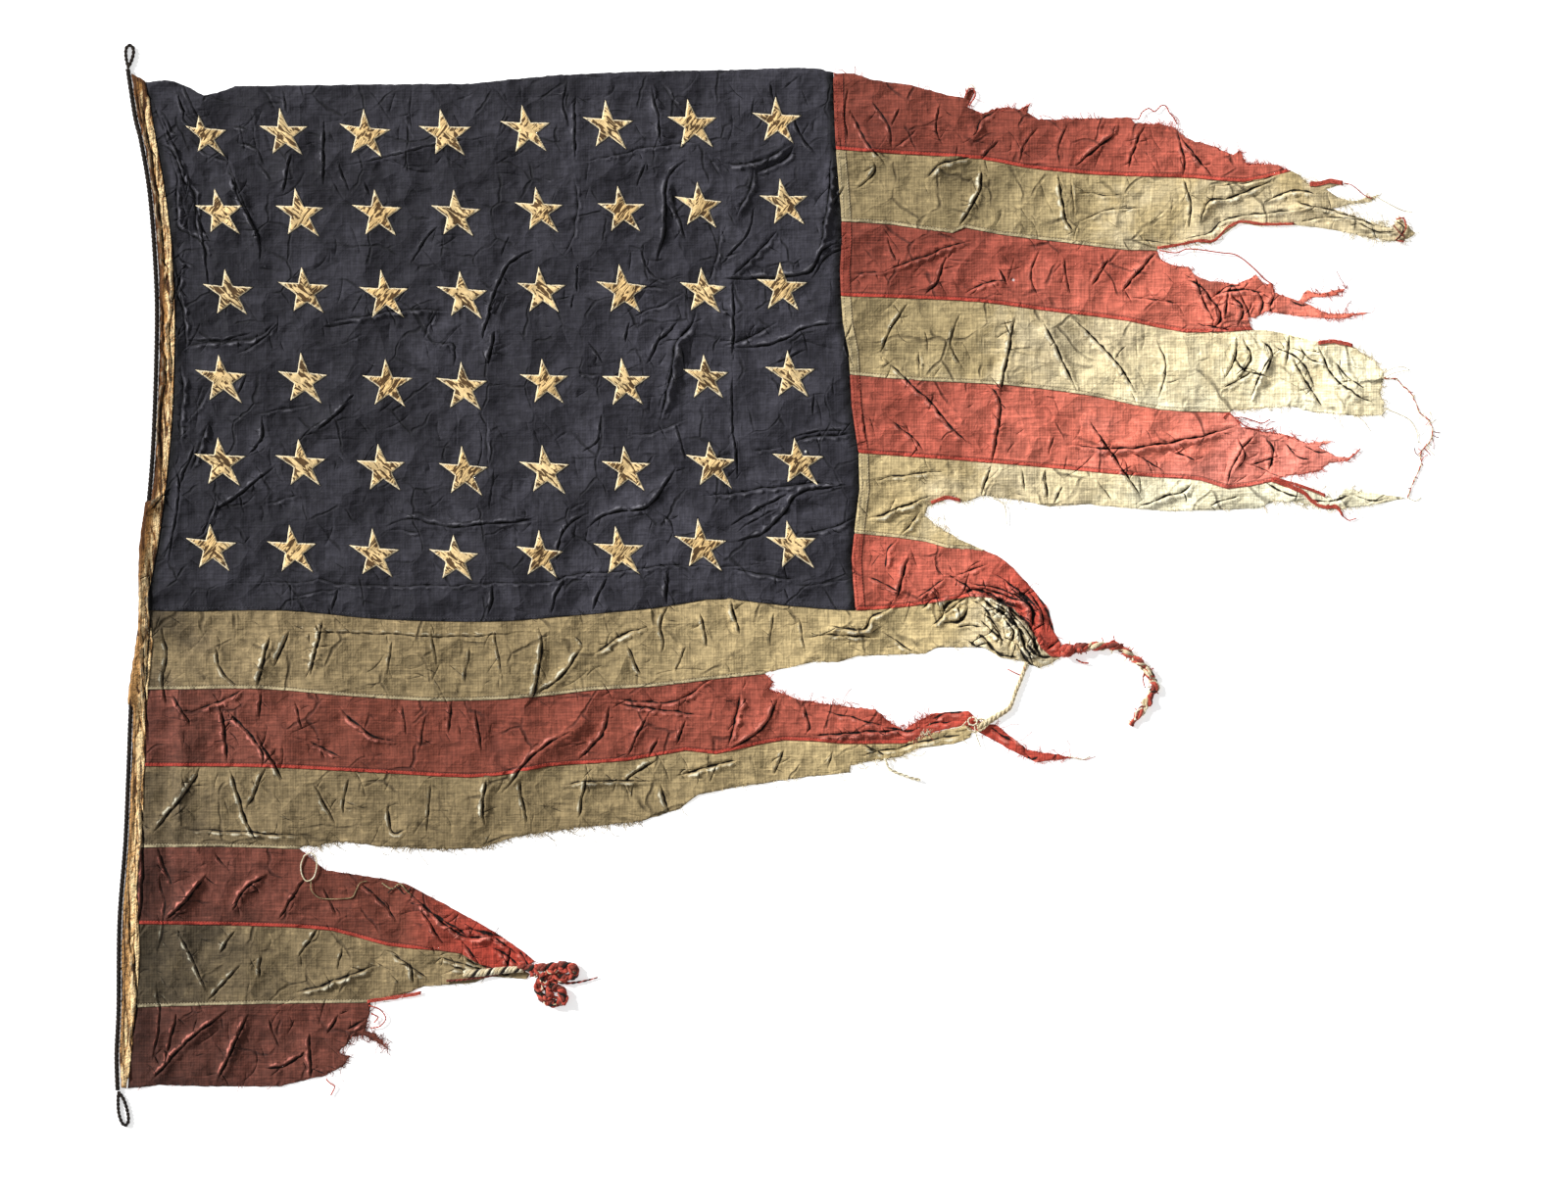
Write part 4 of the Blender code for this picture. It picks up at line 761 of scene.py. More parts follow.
def tornAt(spot):
    x, y = pixelOf(spot)
    return max([zone[4] for zone in tornZones if zone[0] < x < zone[2] and zone[1] < y < zone[3]], default=0)


def overRank(name):
    # a piece with a higher rank is sewn over its neighbour
    if name == "heading":
        return 100.0
    return 42.5 if name == "canton" else 50.0 - int(name[-2:])


def readSolid(name):
    # the outline of the solid's underside, its holes, and the underside itself
    body = bmesh.new()
    body.from_mesh(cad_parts[name].data)
    bmesh.ops.remove_doubles(body, verts=body.verts, dist=1e-6)
    body.normal_update()
    under = {face for face in body.faces if face.normal.z < -0.15}
    nextTo = {}
    for edge in body.edges:
        if sum(face in under for face in edge.link_faces) == 1:
            a, b = edge.verts
            nextTo.setdefault(a.index, []).append(b.index)
            nextTo.setdefault(b.index, []).append(a.index)
    body.verts.ensure_lookup_table()
    spots = np.array([tuple(v.co) for v in body.verts])
    loops, left = [], set(nextTo)
    while left:
        start = min(left)
        loop, before, here = [start], None, start
        while True:
            left.discard(here)
            onward = [v for v in nextTo[here] if v != before and (v in left or v == start)]
            if not onward or onward[0] == start:
                break
            before, here = here, onward[0]
            loop.append(here)
        if len(loop) > 3:
            loops.append(spots[loop][:, :2])
    sheet = BVHTree.FromPolygons([tuple(v) for v in spots], [[v.index for v in face.verts] for face in under])
    body.free()
    loops.sort(key=lambda loop: -abs(area(loop)))
    loops = [loop if (area(loop) > 0) == (i == 0) else loop[::-1] for i, loop in enumerate(loops)]
    return {"name": name, "loops": loops, "sheet": sheet}


def area(loop):
    x, y = loop[:, 0], loop[:, 1]
    return 0.5 * float(np.sum(x * np.roll(y, -1) - y * np.roll(x, -1)))


def finerLoop(loop, step):
    made = []
    for a, b in zip(loop, np.roll(loop, -1, axis=0)):
        count = max(1, int(math.ceil(float(np.linalg.norm(b - a)) / step)))
        made.extend(a + (b - a) * t for t in np.arange(count) / count)
    return np.array(made)


def treeOf(points):
    tree = KDTree(max(1, len(points)))
    for i, p in enumerate(points):
        tree.insert((p[0], p[1], 0), i)
    tree.balance()
    return tree


def insideLoop(points, loop):
    ends = np.roll(loop, -1, axis=0)
    rise = ends[:, 1] - loop[:, 1]
    slope = (ends[:, 0] - loop[:, 0]) / np.where(rise == 0, 1e-12, rise)
    inside = np.zeros(len(points), bool)
    for first in range(0, len(points), 2000):
        part = points[first:first + 2000]
        x, y = part[:, 0, None], part[:, 1, None]
        crossed = ((loop[:, 1] > y) != (ends[:, 1] > y)) & (loop[:, 0] + (y - loop[:, 1]) * slope > x)
        inside[first:first + 2000] = crossed.sum(axis=1) % 2 == 1
    return inside


def outward(loop):
    run = unit(np.roll(loop, -1, axis=0) - np.roll(loop, 1, axis=0))
    return np.column_stack([run[:, 1], -run[:, 0]])


solids = {name: readSolid(name) for name in clothNames}
outlines = {name: solids[name]["loops"][0] for name in clothNames}
fineLoops = {name: finerLoop(outlines[name], clothLayout["edgeStep"]) for name in clothNames}
denseTrees = {name: treeOf(finerLoop(outlines[name], clothLayout["fineStep"])) for name in clothNames}
print("stage: outlines read from the frame")


def neighbourOf(name, point):
    found = None
    for other in clothNames:
        if other != name:
            _, _, distance = denseTrees[other].find((point[0], point[1], 0))
            if distance < clothLayout["touching"] and (found is None or distance < found[1]):
                found = (other, distance)
    return found[0] if found else None


def edgeKinds(name, loop):
    kinds = []
    for point in loop:
        other = neighbourOf(name, point)
        if other is None:
            kinds.append("free")
        elif overRank(name) < overRank(other):
            kinds.append("under")
        elif name.startswith("stripe") and other == "canton":
            kinds.append("side")
        else:
            kinds.append("lower")
    return np.array(kinds)


def wornEdge(name, loop, kinds):
    # torn edges wander and fray a little, sewn edges lap over their neighbour
    away = outward(loop)
    moved = loop.copy()
    for i, (point, kind) in enumerate(zip(loop, kinds)):
        if kind in ("lower", "side"):
            moved[i] += away[i] * clothLayout["lap"]
        elif kind == "free":
            x, y = point
            ragged = noiseAt(x * 150, y * 150, 0.5) + 0.6 * noiseAt(x * 420, y * 420, 4.5)
            moved[i] += away[i] * (0.0009 * (1 + 0.7 * tornAt(point)) * ragged - 0.0002)
        left, top, right, bottom, over, up = closing.get(name, (0, 0, 0, 0, 0, 0))
        x, y = pixelOf(point)
        if left < x < right and top < y < bottom and away[i, 0] * over + away[i, 1] * up > 0.0008:
            moved[i] += (over, up)
    return moved


def hexGrid(low, high, step):
    rows = []
    y, odd = low[1], 0
    while y < high[1]:
        xs = np.arange(low[0] + odd * step / 2, high[0], step)
        rows.append(np.column_stack([xs, np.full(len(xs), y)]))
        y += step * 0.866
        odd = 1 - odd
    grid = np.vstack(rows)
    return grid + dice.normal(0, step * 0.12, grid.shape)


def gapTo(plan, spots, most=0.03):
    if not len(spots):
        return np.full(len(plan), most)
    tree = treeOf(spots)
    return np.array([min(most, tree.find((p[0], p[1], 0))[2]) for p in plan])


def groundHeight(sheet, point):
    hit = sheet.ray_cast(Vector((point[0], point[1], -1)), Vector((0, 0, 1)))[0]
    if hit is None:
        hit = sheet.find_nearest(Vector((point[0], point[1], 0)))[0]
    return hit.z if hit is not None else 0.0


def softened(values, edges, rounds):
    values = values.copy()
    a, b = edges[:, 0], edges[:, 1]
    count = np.bincount(a, minlength=len(values)) + np.bincount(b, minlength=len(values))
    for _ in range(rounds):
        total = np.bincount(a, values[b], len(values)) + np.bincount(b, values[a], len(values))
        values = 0.4 * values + 0.6 * total / np.maximum(count, 1)
    return values


def waveHeight(plan):
    # slow swells, smaller ripples, and crushed cells with sharp valleys between them
    tall = []
    for x, y in plan:
        broad, mid, fine = noiseAt(x * 7, y * 7, 0.3), noiseAt(x * 22, y * 26, 5.3), noiseAt(x * 60, y * 70, 9.3)
        warp = Vector((x + 0.012 * mid, y + 0.012 * noiseAt(x * 24, y * 24, 7.7), 0))
        near, further = noise.voronoi(warp * 23)[0][:2]
        tall.append(1.7 * broad + 0.9 * mid + 0.40 * fine + 1.3 * min(0.42, further - near) + 0.6 * near - 0.5)
    return np.array(tall) * clothLayout["wave"]


# sewn stars
starTable = {
    "radius": 0.0395, "waist": 0.375, "lean": 0.2, "turn": math.radians(3), "raise": 0.0006, "dome": 0.0011,
    # the first star is squeezed by the folds at the hoist
    "squeezed": [(203, 118), (210, 131), (231, 133), (219, 143), (230, 160), (213, 148), (202, 155), (205, 142),
                 (190, 129), (201, 131)],
    "rows": [
        [(211, 139), (290, 137), (373, 138), (455, 138), (538, 133), (621, 130), (707, 128), (793, 125)],
        [(225, 218), (306, 219), (386, 219), (466, 220), (551, 216), (635, 216), (714, 211), (801, 208)],
        [(234, 300), (312, 298), (393, 302), (473, 303), (553, 298), (636, 298), (718, 298), (798, 295)],
        [(227, 388), (310, 389), (396, 393), (473, 396), (557, 391), (638, 392), (721, 386), (807, 384)],
        [(226, 473), (309, 475), (390, 479), (474, 483), (557, 481), (640, 480), (727, 475), (815, 473)],
        [(217, 560), (300, 562), (383, 567), (465, 571), (552, 568), (633, 564), (716, 558), (809, 557)],
    ],
}


def starOutline(centre, radius, lean, turn, given=()):
    corners = [tuple(p) for p in place(given)] if given else []
    for i in range(0 if given else 10):
        reach = radius * (1 + dice.normal(0, 0.035)) * (1 if i % 2 == 0 else starTable["waist"])
        angle = math.pi / 2 - turn - i * math.pi / 5
        x, y = reach * math.cos(angle), reach * math.sin(angle)
        corners.append((centre[0] + x - lean * y, centre[1] + y))
    corners = np.array(corners)
    loop = finerLoop(corners, 0.004)
    sides = np.sin(np.arange(len(loop)) * 1.7 + centre[0] * 90) * 0.00035
    return loop + unit(loop - loop.mean(axis=0)) * sides[:, None]


def layStars():
    laid = []
    for r, row in enumerate(starTable["rows"]):
        for c, centre in enumerate(row):
            first = r == 0 and c == 0
            lean = starTable["lean"] + dice.normal(0, 0.03)
            size = starTable["radius"] * (1 + dice.normal(0, 0.02))
            given = starTable["squeezed"] if first else ()
            loop = starOutline(place([centre])[0], size, lean, starTable["turn"] + dice.normal(0, 0.03), given)
            laid.append((loop, r * 3.1 + c))
    return laid


starLoops = layStars()


def cutSheet(name, outline, near):
    # a flat sheet inside the outline, with its edges along the creases: points and triangles
    holes = [finerLoop(loop, clothLayout["holeStep"]) for loop in solids[name]["loops"][1:]]
    points, lines, taken = [], [], set()

    def cell(p):
        return int(p[0] / clothLayout["clear"]), int(p[1] / clothLayout["clear"])

    def addLine(line, closed):
        first = len(points)
        points.extend(tuple(p) for p in line)
        lines.extend((first + i, first + i + 1) for i in range(len(line) - 1))
        if closed:
            lines.append((first + len(line) - 1, first))

    for loop in [outline] + holes:
        addLine(loop, True)
    for crease in near:
        for offset in crease.offsets():
            guide = crease.guide(offset)
            if insideLoop(guide, outline).sum() > 1:
                addLine(guide, False)
                taken.update(cell(p) for p in guide)
    step = clothLayout["grid"].get(name, clothLayout["grid"]["stripe"])
    grid = hexGrid(outline.min(axis=0), outline.max(axis=0), step)
    points.extend(tuple(p) for p in grid[insideLoop(grid, outline)] if cell(p) not in taken)
    made = delaunay_2d_cdt(points, lines, [], 0, clothLayout["merge"])
    plan, faces = np.array([tuple(v) for v in made[0]]), np.array([tuple(f) for f in made[2]])
    middles = plan[faces].mean(axis=1)
    keep = insideLoop(middles, outline)
    for hole in holes:
        keep &= ~insideLoop(middles, hole)
    used, faces = np.unique(faces[keep], return_inverse=True)
    return plan[used], faces.reshape(-1, 3)


def foldSheet(name, plan, faces, near, gaps):
    # heights of the sheet's points, and how far each is in a crease's valley or on its crest, the masks for painted
    # shade and painted highlight
    edges = np.unique(np.sort(np.vstack([faces[:, [0, 1]], faces[:, [1, 2]], faces[:, [2, 0]]]), axis=1), axis=0)
    ground = softened(np.array([groundHeight(solids[name]["sheet"], p) for p in plan]), edges, 6)
    height = ground + clothLayout["level"] + waveHeight(plan)
    dark, crest = np.zeros(len(plan)), np.zeros(len(plan))
    for crease in near:
        where, tall, shade, lit = crease.shape(plan)
        if len(where):
            height[where] += tall
            dark[where] = np.maximum(dark[where], shade)
            crest[where] = np.maximum(crest[where], lit)
    height += clothLayout["lapLift"] * np.clip(1 - gaps["lower"] / clothLayout["seamReach"], 0, 1) ** 0.5
    height += clothLayout["lapLift"] * np.clip(1 - np.maximum(gaps["side"] - 0.013, 0) / 0.003, 0, 1)
    height -= 0.0006 * np.clip(1 - gaps["under"] / clothLayout["seamReach"], 0, 1)
    if name == "heading":
        height += 0.0012 * np.clip(1 - ((gaps["free"] - 0.004) / 0.004) ** 2, 0, 1)
    else:
        # free edges settle on the surface, and curl up in places
        curl = np.array([noiseAt(x * 45, y * 45, 2.2) for x, y in plan])
        settled = 0.2 + 0.8 * np.clip(gaps["free"] / 0.022, 0, 1) ** 0.7
        height = 0.0012 + (height - 0.0012) * settled
        height += 0.0016 * np.clip(1 - gaps["free"] / 0.010, 0, 1) * np.clip(curl * 2, -0.3, 1)
    return np.maximum(height, clothLayout["thickness"] + 0.0001), dark, crest


def setValues(mesh, values):
    for word, value in values.items():
        mesh.attributes.new(word, "FLOAT", "POINT").data.foreach_set("value", np.asarray(value, np.float32))


def makeCloth(name):
    kinds = edgeKinds(name, fineLoops[name])
    outline = wornEdge(name, fineLoops[name], kinds)
    low, high = outline.min(axis=0), outline.max(axis=0)
    near = [crease for crease in creases if (crease.high > low).all() and (crease.low < high).all()]
    plan, faces = cutSheet(name, outline, near)
    gaps = {word: gapTo(plan, edgeSpots(outline, kinds, word)) for word in ("lower", "side", "free", "under")}
    height, dark, crest = foldSheet(name, plan, faces, near, gaps)
    across = plan[:, 0] / photo["pixel"] + photo["originX"]
    first, last = unfadedEnds.get(name, (2000, 2001))
    if name in bandEnds:
        gaps["lower"] += np.maximum(0, across - bandEnds[name]) * clothLayout["bandFade"]
    mesh = bpy.data.meshes.new(name + "_cloth")
    mesh.from_pydata(np.column_stack([plan, height]).tolist(), [], faces.tolist())
    setValues(mesh, {"crease": dark, "crest": crest, "lowerGap": gaps["lower"], "sideGap": gaps["side"],
                     "freeGap": gaps["free"], "underGap": gaps["under"],
                     "unfaded": np.clip((across - first) / (last - first), 0, 1)})
    if name == "canton":
        setValues(mesh, {"starGap": gapTo(plan, [p for star in starLoops for p in finerLoop(star[0], 0.002)])})
    piece = addPiece(name + "_cloth", mesh)
    finishWall(piece, clothLayout["thickness"])
    word = {"canton": "blue", "heading": "canvas"}.get(name) or ("red" if int(name[-2:]) % 2 else "white")
    mesh.materials.append(finishes[word])
    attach(piece, "root")
    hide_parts(name)
    cloth[name] = {"piece": piece, "outline": outline, "kinds": kinds, "area": abs(area(outline)), "size": high - low}
    print("stage:", name, len(mesh.polygons), "faces")


def edgeSpots(outline, kinds, word):
    # points of one kind of edge, and the middles between them
    chosen = [p for p, kind in zip(outline, kinds) if kind == word]
    following = zip(outline, np.roll(outline, -1, axis=0), kinds, np.roll(kinds, -1))
    return chosen + [0.5 * (a + b) for a, b, kind, after in following if kind == word == after]


def pickOnly(piece):
    bpy.ops.object.select_all(action="DESELECT")
    piece.select_set(True)
    bpy.context.view_layer.objects.active = piece


def finishWall(piece, thickness):
    pickOnly(piece)
    wall = piece.modifiers.new("wall", "SOLIDIFY")
    wall.thickness = thickness
    wall.offset = -1
    bpy.ops.object.modifier_apply(modifier=wall.name)
    bpy.ops.object.shade_smooth()


cloth = {}
for clothName in clothNames:
    makeCloth(clothName)


def makeStars():
    ground = BVHTree.FromObject(cloth["canton"]["piece"], bpy.context.evaluated_depsgraph_get())
    points, faces, rims = [], [], []
    for loop, seed in starLoops:
        grid = hexGrid(loop.min(axis=0), loop.max(axis=0), 0.0036)
        grid = grid[insideLoop(grid, loop)]
        ring = [(i, (i + 1) % len(loop)) for i in range(len(loop))]
        made = delaunay_2d_cdt([tuple(p) for p in loop] + [tuple(p) for p in grid], ring, [], 0, 0.0002)
        plan = np.array([tuple(v) for v in made[0]])
        tri = np.array([tuple(f) for f in made[2]])
        tri = tri[insideLoop(plan[tri].mean(axis=1), loop)]
        rim = gapTo(plan, finerLoop(loop, 0.0012))
        start = len(points)
        for p, gap in zip(plan, rim):
            hit = ground.ray_cast(Vector((p[0], p[1], 1)), Vector((0, 0, -1)))[0]
            z = hit.z if hit is not None else 0.003
            pucker = 0.0006 * noiseAt(p[0] * 160 + p[1] * 60, p[1] * 330, seed)
            dome = starTable["dome"] * min(1.0, gap / 0.003) ** 0.6
            z += starTable["raise"] + dome + pucker * min(1.0, gap / 0.002)
            points.append((p[0], p[1], z))
        rims.extend(rim)
        faces.extend(tuple(int(i) + start for i in f) for f in tri)
    mesh = bpy.data.meshes.new("sewn_stars")
    mesh.from_pydata(points, [], faces)
    setValues(mesh, {"rim": rims})
    mesh.materials.append(finishes["star"])
    piece = addPiece("sewn_stars", mesh)
    finishWall(piece, 0.0009)
    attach(piece, "root")
    print("stage: stars", len(mesh.polygons), "faces")
    return piece


stars = makeStars()


# yarn, rope and twisted strands
def frames(path, closed=False):
    # the path, and the sideways and upward directions at each of its points
    path = np.asarray(path, float)
    along = unit(np.roll(path, -1, axis=0) - np.roll(path, 1, axis=0) if closed else np.gradient(path, axis=0))
    side = unit(np.cross(along, (0, 0, 1.0)))
    return path, side, np.cross(side, along)


class Yarns:
    # tubes of several finishes gathered in one mesh
    def __init__(self, name, words):
        self.name, self.words = name, words
        self.points, self.faces, self.slots, self.count = [], [], [], 0

    def tube(self, path, radii, sides, word, closed=False):
        path, side, up = frames(path, closed)
        angles = np.arange(sides) * 2 * math.pi / sides
        ring = side[:, None, :] * np.cos(angles)[None, :, None] + up[:, None, :] * np.sin(angles)[None, :, None]
        spots = path[:, None, :] + ring * np.broadcast_to(radii, len(path))[:, None, None]
        count, before = len(path), len(self.faces)
        for i in range(count if closed else count - 1):
            here, above = self.count + i * sides, self.count + (i + 1) % count * sides
            for k in range(sides):
                beside = (k + 1) % sides
                self.faces.append((here + k, here + beside, above + beside, above + k))
        if not closed:
            self.faces.append(tuple(self.count + k for k in range(sides)))
            self.faces.append(tuple(self.count + (count - 1) * sides + k for k in reversed(range(sides))))
        self.slots.extend([self.words.index(word)] * (len(self.faces) - before))
        self.points.append(spots.reshape(-1, 3))
        self.count += count * sides

    def plied(self, path, radius, pitch, words, sides=6, closed=False, phase=0.0):
        # several plies wound round one path, the outside of the whole being radius
        path, side, up = frames(path)
        radius, lengths = np.broadcast_to(radius, len(path)), lengthsOf(path)
        total = lengths[-1] + (np.linalg.norm(path[0] - path[-1]) if closed else 0)
        turns = max(1, round(total / pitch)) / total if closed else 1 / pitch
        for k, word in enumerate(words):
            angle = 2 * math.pi * (lengths * turns + k / len(words)) + phase
            centre = path + (side * np.cos(angle)[:, None] + up * np.sin(angle)[:, None]) * (radius * 0.48)[:, None]
            self.tube(centre, radius * 0.56, sides, word, closed)

    def finish(self, slot, replaces=()):
        mesh = bpy.data.meshes.new(self.name)
        spots, pressed = np.vstack(self.points), 0.0015
        if spots[:, 2].min() < 0:
            # plies that would dip under the surface are pressed onto it
            low = spots[:, 2] < pressed
            spots[low, 2] = pressed * np.exp(spots[low, 2] / pressed - 1)
        mesh.from_pydata(spots.tolist(), [], self.faces)
        for word in self.words:
            mesh.materials.append(finishes[word])
        mesh.polygons.foreach_set("material_index", self.slots)
        piece = addPiece(self.name, mesh)
        pickOnly(piece)
        bpy.ops.object.mode_set(mode="EDIT")
        bpy.ops.mesh.select_all(action="SELECT")
        bpy.ops.mesh.normals_make_consistent(inside=False)
        bpy.ops.object.mode_set(mode="OBJECT")
        bpy.ops.object.shade_smooth()
        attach(piece, "root")
        if replaces:
            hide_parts(*replaces)
        print("stage:", self.name, len(mesh.polygons), "faces")
        return piece


def lift(plan, heights):
    return np.column_stack([plan, np.broadcast_to(heights, len(plan))])


ropeTable = {
    "radius": 0.0036, "pitch": 0.021, "eyeRadius": 0.0028, "eyePitch": 0.013,
    "outerEdge": [(128.4, 71), (136, 120), (142, 145), (151, 200), (157, 280), (158, 340), (155, 440), (150, 510),
                  (143, 560), (142, 640), (133, 700), (129, 790), (126, 860), (120, 940), (119, 1030), (117, 1076),
                  (118, 1112.4)],
    "upperEye": [(131.2, 69.2), (129.4, 62), (128.6, 54), (129.6, 48.8), (132.6, 46.6), (135.8, 48.8), (136.6, 54),
                 (134.6, 62)],
    "lowerEye": [(121.4, 1114.4), (120.8, 1124), (121.6, 1136), (124.6, 1145.4), (128.4, 1148.4), (131.4, 1144),
                 (130.4, 1134), (126.6, 1122)],
}


def makeRope():
    outer = np.array(ropeTable["outerEdge"], float)
    outer[:, 0] += ropeTable["radius"] / photo["pixel"]
    path = smoothLine(place(outer), 0.0022)
    rope = Yarns("laid_rope", ["ropeYarn"])
    rope.plied(lift(path, ropeTable["radius"] + 0.0003), ropeTable["radius"], ropeTable["pitch"], ["ropeYarn"] * 3)
    rope.finish("rope", ["hoist_rope"])
    for name, node in (("upperEye", "upper_eye"), ("lowerEye", "lower_eye")):
        points = ropeTable[name]
        loop = smoothLine(place(points + points[:1]), 0.0016)[:-1]
        eye = Yarns(node + "_cord", ["ropeYarn"])
        eye.plied(lift(loop, ropeTable["eyeRadius"] + 0.0004), ropeTable["eyeRadius"], ropeTable["eyePitch"],
                  ["ropeYarn"] * 2, 6, True)
        eye.finish("rope", [node])


makeRope()

tailTable = {
    "tail": [(1084, 664.5, 7), (1098, 662, 6.6), (1110, 660, 6), (1138, 659.5, 5.2), (1152, 668, 4.8), (1163, 676, 4.6),
             (1172, 688, 4.5), (1178, 700, 4.4), (1172, 714, 4.3), (1163, 728, 4.2), (1153, 740, 3.6)],
    "tailPitch": 0.052,
    "lower": [(1047.5, 676), (1042, 692), (1037, 704), (1032, 718), (1028, 724), (1015, 732), (1004, 739), (997, 742)],
    "upper": [(1409, 385), (1418, 386.5), (1425, 387), (1431, 394), (1438, 400), (1443, 408), (1448, 420), (1458, 430),
              (1461, 437), (1460, 448), (1450, 462), (1449, 476), (1443, 490), (1436, 508)],
    # the folded cord inside the knot, and the places that curls of cloth gather round: x, y, two half widths
    "core": [(530, 984), (540, 988), (552, 987), (566, 986), (580, 985), (588, 990), (584, 996), (572, 998), (558, 997),
             (550, 1002), (550, 1012), (556, 1020), (566, 1024), (574, 1021), (575, 1013), (568, 1007), (560, 1010),
             (562, 1016)],
    "roll": [(474, 993), (490, 993), (505, 991), (520, 989.5), (534, 989)],
    "curls": [(552, 990, 7, 6), (563, 988, 8, 6), (576, 987, 8, 6), (585, 990, 7, 6), (572, 997, 8, 5),
              (556, 1000, 8, 6), (550, 1007, 7, 7), (557, 1014, 7, 7), (564, 1006, 7, 6), (566, 1021, 8, 6),
              (558, 1022, 6, 5), (575, 1018, 5, 7), (545, 993, 6, 6)],
    "spike": [(562, 998), (575, 1003), (592, 1002), (610, 997.5)],
}


def makeTail():
    tail = Yarns("twisted_strands", ["redYarn", "maroonYarn", "creamYarn", "whiteYarn", "ropeYarn"])
    line = smoothLine(tailTable["tail"], 1.4)
    uneven = 0.92 + 0.16 * np.sin(np.arange(len(line)) * 0.55) + dice.normal(0, 0.03, len(line))
    radius = line[:, 2] * photo["pixel"] * uneven
    path = lift(place(line[:, :2]), radius * 0.80)
    tail.plied(path, radius * 0.80, tailTable["tailPitch"], ["redYarn", "creamYarn", "redYarn", "maroonYarn"], 7)
    tail.plied(path[:15], radius[:15] * np.linspace(1.0, 0.85, 15), 0.030,
               ["redYarn", "redYarn", "maroonYarn", "redYarn"], 7)
    _, side, up = frames(path)
    for k in range(26):
        # short ends that wander round the twist, cream ones only past its first red part
        word = ("creamYarn", "redYarn", "whiteYarn", "redYarn", "maroonYarn", "creamYarn", "ropeYarn")[k % 7]
        first = dice.integers(2 if word in ("redYarn", "maroonYarn") else 14, len(path) - 12)
        part = np.arange(first, min(len(path) - 1, first + dice.integers(9, 24)))
        turn = part * dice.uniform(0.18, 0.46) * (1 if k % 4 else -1) + dice.uniform(0, 6.28)
        turn = turn + 1.1 * np.sin(part * 0.31 + k)
        wobble = radius[part] * (0.74 + 0.22 * np.sin(part * 0.8 + 2 * k))
        around = side[part] * np.cos(turn)[:, None] + up[part] * np.sin(turn)[:, None]
        strand = path[part] + around * wobble[:, None]
        thick = dice.uniform(0.0013, 0.0024) * (0.7 + 0.5 * np.sin(part * 0.7 + k) ** 2)
        tail.tube(strand, thick, 5, word)
    for k in range(40):
        at = dice.integers(4, len(path) - 2)
        reach = dice.choice((-1, 1)) * radius[at] * dice.uniform(0.9, 1.5)
        root = path[at] + side[at] * reach * 0.5
        tip = path[at] + side[at] * reach + np.append(dice.normal(0, 0.002, 2), -0.001)
        tail.tube(np.array([root, (root + tip) / 2 + (0, 0, 0.001), tip]), 0.0008, 4, ("redYarn", "creamYarn")[k % 2])
    tail.finish("red", ["twisted_tail"])


def makeLinks():
    link = Yarns("lower_link_yarn", ["creamYarn", "redYarn"])
    path = smoothLine(place(tailTable["lower"]), 0.0018)
    heights = 0.0032 + 0.0012 * np.sin(np.linspace(0, 3, len(path)))
    shares = [0, len(path) * 0.45, len(path) * 0.8, len(path)]
    swell = np.interp(np.arange(len(path)), shares, [0.0034, 0.0031, 0.0052, 0.0048])
    link.plied(lift(path, heights), swell, 0.024, ["creamYarn", "creamYarn", "creamYarn"])
    for first, last in ((3, 8), (11, 15), (20, 23)):
        link.tube(lift(path[first:last], heights[first:last] + 0.0016), 0.0013, 5, "redYarn")
    link.finish("cream", ["lower_link"])

    link = Yarns("upper_link_yarn", ["creamYarn", "redYarn", "maroonYarn"])
    path = smoothLine(place(tailTable["upper"]), 0.003)
    path = lift(wander(path, 0.0014, 160), 0.0018)
    link.plied(path, 0.0013 * (1 + 0.35 * np.sin(np.arange(len(path)) * 0.9)), 0.012, ["creamYarn", "redYarn"], 5)
    for k in range(34):
        at = dice.integers(1, len(path) - 2)
        turn, reach = dice.uniform(0, 6.28), dice.uniform(0.004, 0.013)
        reach *= 1.4 if 0.4 < at / len(path) < 0.75 else 0.7
        tip = path[at] + (reach * math.cos(turn), reach * math.sin(turn), -0.0008)
        middle = (path[at] + tip) / 2 + np.append(dice.normal(0, 0.0012, 2), 0.0003)
        word = ("redYarn", "creamYarn", "maroonYarn")[k % 3]
        link.tube(smoothLine([path[at], middle, tip], 0.002), 0.0006, 4, word)
    link.finish("cream", ["upper_link"])


